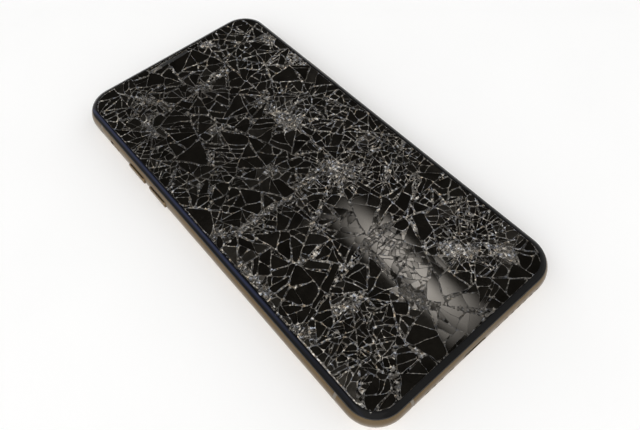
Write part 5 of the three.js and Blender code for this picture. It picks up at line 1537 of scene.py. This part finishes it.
# Rear cameras


def camera_rim():
    """The proud pill with a well for each window, rounded where it stands on the table."""
    middle, size = box_of("camera_rim")
    foot, head = middle.z - size.z / 2, middle.z + size.z / 2
    start, turn = foot + CAMERA_RIM_ROUND, size.x / 2 - CAMERA_RIM_STRAIGHT
    rim = sheet("camera_surround", size.x / 2, size.y / 2, turn, start, CAMERA_RIM_STEPS)
    raise_face(head - foot - CAMERA_RIM_ROUND)
    pick_faces(rim, looks_down)
    draw_in(quarter_round(CAMERA_RIM_ROUND, CAMERA_ROUND_STEPS))
    done()
    rim.data.transform(Matrix.Translation((middle.x * MM, middle.y * MM, 0)))
    faces_outward(rim)
    wells = []
    for node in (*LENS_WINDOWS, "flash_window"):
        at, width = box_of(node)
        radius = width.x / 2 + LENS_WELL_GAP
        wells.append(round_bar("well", radius, LENS_WELL_DEPTH, (at.x, at.y, 0), UPRIGHT, ROUND_SIDES))
    carve(rim, wells)
    settle(rim, "gold_steel", "camera_rim", smooth=SMOOTH)


def lens_window(node, name):
    at, size = box_of(node)
    window = round_bar(name, size.x / 2, size.z, at, UPRIGHT, ROUND_SIDES)
    round_edges(window, WINDOW_ROUND, SMALL_ROUND_STEPS)
    settle(window, "clear_window", node, smooth=SMOOTH)


def camera_block():
    """The camera module with stepped rings down to each lens."""
    block = merged_copy("camera_module", "camera_block")
    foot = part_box("camera_module")[0].z / MM
    cutters, lenses = [], []
    for node in LENS_WINDOWS:
        at, _ = box_of(node)
        for radius, depth in LENS_STEPS:
            place = (at.x, at.y, foot + depth / 2 - STEP_CUT_PAST / 2)
            cutters.append(round_bar("step", radius, depth + STEP_CUT_PAST, place, UPRIGHT, ROUND_SIDES))
        radius, depth = LENS_STEPS[-1]
        deselect_all()
        bpy.ops.mesh.primitive_uv_sphere_add(
            segments=LENS_SIDES, ring_count=LENS_SIDES // 2, radius=MM,
            location=[c * MM for c in (at.x, at.y, foot + depth)],
        )
        lens = bpy.context.object
        lens.scale = (radius - LENS_GAP, radius - LENS_GAP, LENS_BULGE)
        set_in_mesh()
        lenses.append(lens)
    carve(block, cutters)
    faces_outward(block)
    settle(block, "black_plastic", "camera_module", smooth=SMOOTH)
    settle(gathered("camera_lenses", lenses), "clear_window", smooth=SMOOTH_LENS, finish=coated_lens())


def flash_lens():
    """The lamp's window, with rings pressed into its face."""
    at, size = box_of("flash_window")
    lens = round_bar("flash_lens", size.x / 2, size.z, at, UPRIGHT, ROUND_SIDES)
    edit(lens)
    pick_faces(lens, looks_down)
    for _ in range(FLASH_RINGS):
        recess(FLASH_RIDGE_WIDTH, FLASH_RIDGE_DEPTH)
        recess(FLASH_RIDGE_SLOPE, -FLASH_RIDGE_DEPTH)
    done()
    faces_outward(lens)
    settle(lens, "flash_window", "flash_window", smooth=SMOOTH)


# Bottom end and earpiece


def bottom_screw(node, name):
    """A round head with a six-sided drive, on its shank."""
    low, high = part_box(node)
    x, face, back = (low.x + high.x) / 2 / MM, low.y / MM, high.y / MM
    head_place = (x, face + SCREW_HEAD_LENGTH / 2, MIDDLE)
    head = round_bar(name, SCREW_RADIUS, SCREW_HEAD_LENGTH, head_place, ENDWAYS, SCREW_SIDES)
    round_edges(head, SCREW_ROUND, SMALL_ROUND_STEPS)
    shank_place = (x, (face + back + SCREW_SHANK_START) / 2, MIDDLE)
    shank_length = back - face - SCREW_SHANK_START
    unite(head, round_bar("shank", SCREW_SHANK_RADIUS, shank_length, shank_place, ENDWAYS))
    place, depth = (x, face, MIDDLE), 2 * SCREW_DRIVE_DEPTH
    carve(head, [round_bar("drive", SCREW_DRIVE_RADIUS, depth, place, ENDWAYS, SCREW_DRIVE_SIDES)])
    settle(head, "gold_steel", node, smooth=SMOOTH)


def port_contacts():
    """Two rows of gilt strips on the socket's tongue."""
    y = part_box("charge_port")[0].y / MM + CONTACT_SET_BACK + CONTACT_LENGTH / 2
    strips = []
    for side in (-1, 1):
        for i in range(CONTACTS):
            place = ((i - (CONTACTS - 1) / 2) * CONTACT_PITCH, y, MIDDLE + side * TONGUE_THICKNESS / 2)
            deselect_all()
            bpy.ops.mesh.primitive_cube_add(size=MM, location=[c * MM for c in place])
            strip = bpy.context.object
            strip.scale = (CONTACT_WIDTH, CONTACT_LENGTH, 2 * CONTACT_HEIGHT)
            set_in_mesh()
            strips.append(strip)
    settle(gathered("port_contacts", strips), "copper")


def earpiece_weave():
    """Crossed wires over the earpiece's mesh."""
    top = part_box("earpiece_mesh")[1].z / MM
    long, wide = 2 * EARPIECE_HALF_LENGTH, 2 * EARPIECE_HALF_WIDTH
    wires = []
    for i in range(int(wide / WIRE_PITCH)):
        y = EARPIECE_Y - EARPIECE_HALF_WIDTH + (i + 0.5) * WIRE_PITCH
        wires.append(round_bar("wire", WIRE_RADIUS, long, (0, y, top), CROSSWAYS, WIRE_SIDES))
    for i in range(int(long / WIRE_PITCH)):
        x = -EARPIECE_HALF_LENGTH + (i + 0.5) * WIRE_PITCH
        place = (x, EARPIECE_Y, top + WIRE_RADIUS)
        wires.append(round_bar("wire", WIRE_RADIUS, wide, place, ENDWAYS, WIRE_SIDES))
    settle(gathered("earpiece_weave", wires), "black_plastic")


# Studio


def floor():
    """White paper that keeps the shadow: where it is seen or mirrored, it glows a little."""
    deselect_all()
    bpy.ops.mesh.primitive_plane_add(size=FLOOR_SIZE, location=(0, 0, 0))
    ground = bpy.context.object
    ground.name = "studio_floor"
    f = Finish("floor_paper")
    fibre = f.noise(30, 3, 0.5)
    rays = f.add("ShaderNodeLightPath").outputs
    seen = f.math("MAXIMUM", rays["Is Glossy Ray"], rays["Is Transmission Ray"])
    seen = f.math("MAXIMUM", rays["Is Camera Ray"], seen)
    f.set(
        Base_Color=f.ramp(fibre, [(0.2, (0.93, 0.93, 0.93)), (0.8, (0.95, 0.95, 0.95))]),
        Roughness=0.9,
        Specular_IOR_Level=0.1,
        Emission_Color=(1.0, 1.0, 1.0, 1.0),
        Emission_Strength=f.product(seen, FLOOR_GLOW),
    )
    ground.data.materials.append(f.material)


def key_light():
    """One large soft lamp over the near left."""
    lamp = bpy.data.lights.new("key_light", "AREA")
    lamp.shape = "RECTANGLE"
    lamp.size = LAMP_SIZE
    lamp.size_y = LAMP_SIZE
    lamp.energy = LAMP_POWER
    lamp.color = LAMP_COLOUR
    box = bpy.data.objects.new("key_light", lamp)
    box.location = LAMP_PLACE
    box.rotation_euler = (-Vector(LAMP_PLACE)).to_track_quat("-Z", "Y").to_euler()
    bpy.context.scene.collection.objects.link(box)


def strip_card():
    """A glowing card over the phone, soft at its edges, for the stripe that the glass mirrors."""
    deselect_all()
    middle = [(a + b) / 2 for a, b in zip(CARD_LOW, CARD_HIGH)]
    half = [(b - a) / 2 for a, b in zip(CARD_LOW, CARD_HIGH)]
    bpy.ops.mesh.primitive_plane_add(size=2, location=(*middle, CARD_HEIGHT))
    card = bpy.context.object
    card.name = "strip_card"
    card.scale = (*half, 1)
    f = Finish("strip_card_glow")
    axes = f.axes()
    shares = [f.span(f.math("ABSOLUTE", axes[name]), 1 - CARD_SOFT_EDGE, 1, 1, 0) for name in ("X", "Y")]
    glow = f.add("ShaderNodeEmission")
    glow.inputs["Color"].default_value = (*CARD_COLOUR, 1)
    f.feed(glow.inputs["Strength"], f.product(*shares, CARD_STRENGTH))
    f.feed(f.tree.nodes["Material Output"].inputs["Surface"], glow.outputs["Emission"])
    card.data.materials.append(f.material)
    card.visible_diffuse = False


def surroundings():
    """An even pale dome, with a dark flag where the flat glass mirrors it to the camera."""
    world = bpy.data.worlds.new("studio")
    bpy.context.scene.world = world
    world.use_nodes = True
    tree = world.node_tree
    place = tree.nodes.new("ShaderNodeTexCoord")
    facing = tree.nodes.new("ShaderNodeVectorMath")
    facing.operation = "DOT_PRODUCT"
    tree.links.new(place.outputs["Generated"], facing.inputs[0])
    facing.inputs[1].default_value = Vector(FLAG_TOWARDS).normalized()
    span = tree.nodes.new("ShaderNodeMapRange")
    span.interpolation_type = "SMOOTHSTEP"
    tree.links.new(facing.outputs["Value"], span.inputs["Value"])
    span.inputs["From Min"].default_value = math.cos(math.radians(FLAG_OUTER))
    span.inputs["From Max"].default_value = math.cos(math.radians(FLAG_INNER))
    span.inputs["To Min"].default_value = DOME_LEVEL
    span.inputs["To Max"].default_value = FLAG_LEVEL
    light = tree.nodes["Background"]
    light.inputs["Color"].default_value = (1.0, 1.0, 1.0, 1.0)
    tree.links.new(span.outputs["Result"], light.inputs["Strength"])


def camera():
    """The photograph's camera: turned round the point that it looks at, and rolled."""
    azimuth, elevation = math.radians(CAMERA_AZIMUTH), math.radians(CAMERA_ELEVATION)
    back = Vector((
        math.sin(azimuth) * math.cos(elevation),
        -math.cos(azimuth) * math.cos(elevation),
        math.sin(elevation),
    ))
    right = Vector((math.cos(azimuth), math.sin(azimuth), 0))
    up = back.cross(right)
    roll = math.radians(CAMERA_ROLL)
    rolled_right = right * math.cos(roll) + up * math.sin(roll)
    rolled_up = up * math.cos(roll) - right * math.sin(roll)
    data = bpy.data.cameras.new("photo_camera")
    data.sensor_width = SENSOR_WIDTH
    data.lens = SENSOR_WIDTH * FOCAL_PIXELS / IMAGE_WIDTH
    data.clip_start = CAMERA_NEAREST
    eye = bpy.data.objects.new("photo_camera", data)
    turned = Matrix((rolled_right, rolled_up, back)).transposed().to_4x4()
    eye.matrix_world = Matrix.Translation(Vector(CAMERA_LOOK) + back * CAMERA_DISTANCE) @ turned
    bpy.context.scene.collection.objects.link(eye)
    bpy.context.scene.camera = eye


dress_solids()
glass_tray()
shattered_face()
band()
antenna_breaks()
bezel()
rear_cover()
key("volume_up_button", "volume_up_key", "volume_up", -1)
key("volume_down_button", "volume_down_key", "volume_down", -1)
key("side_button", "side_key_cap", "side_key", 1)
key("ring_switch", "ring_switch_lever", "ring_lever", -1)
camera_rim()
lens_window("camera_window_upper", "upper_lens_window")
lens_window("camera_window_lower", "lower_lens_window")
camera_block()
flash_lens()
bottom_screw("bottom_screw_left", "left_end_screw")
bottom_screw("bottom_screw_right", "right_end_screw")
port_contacts()
earpiece_weave()

floor()
surroundings()
key_light()
strip_card()
camera()

bpy.context.scene.view_settings.view_transform = "Standard"
deselect_all()
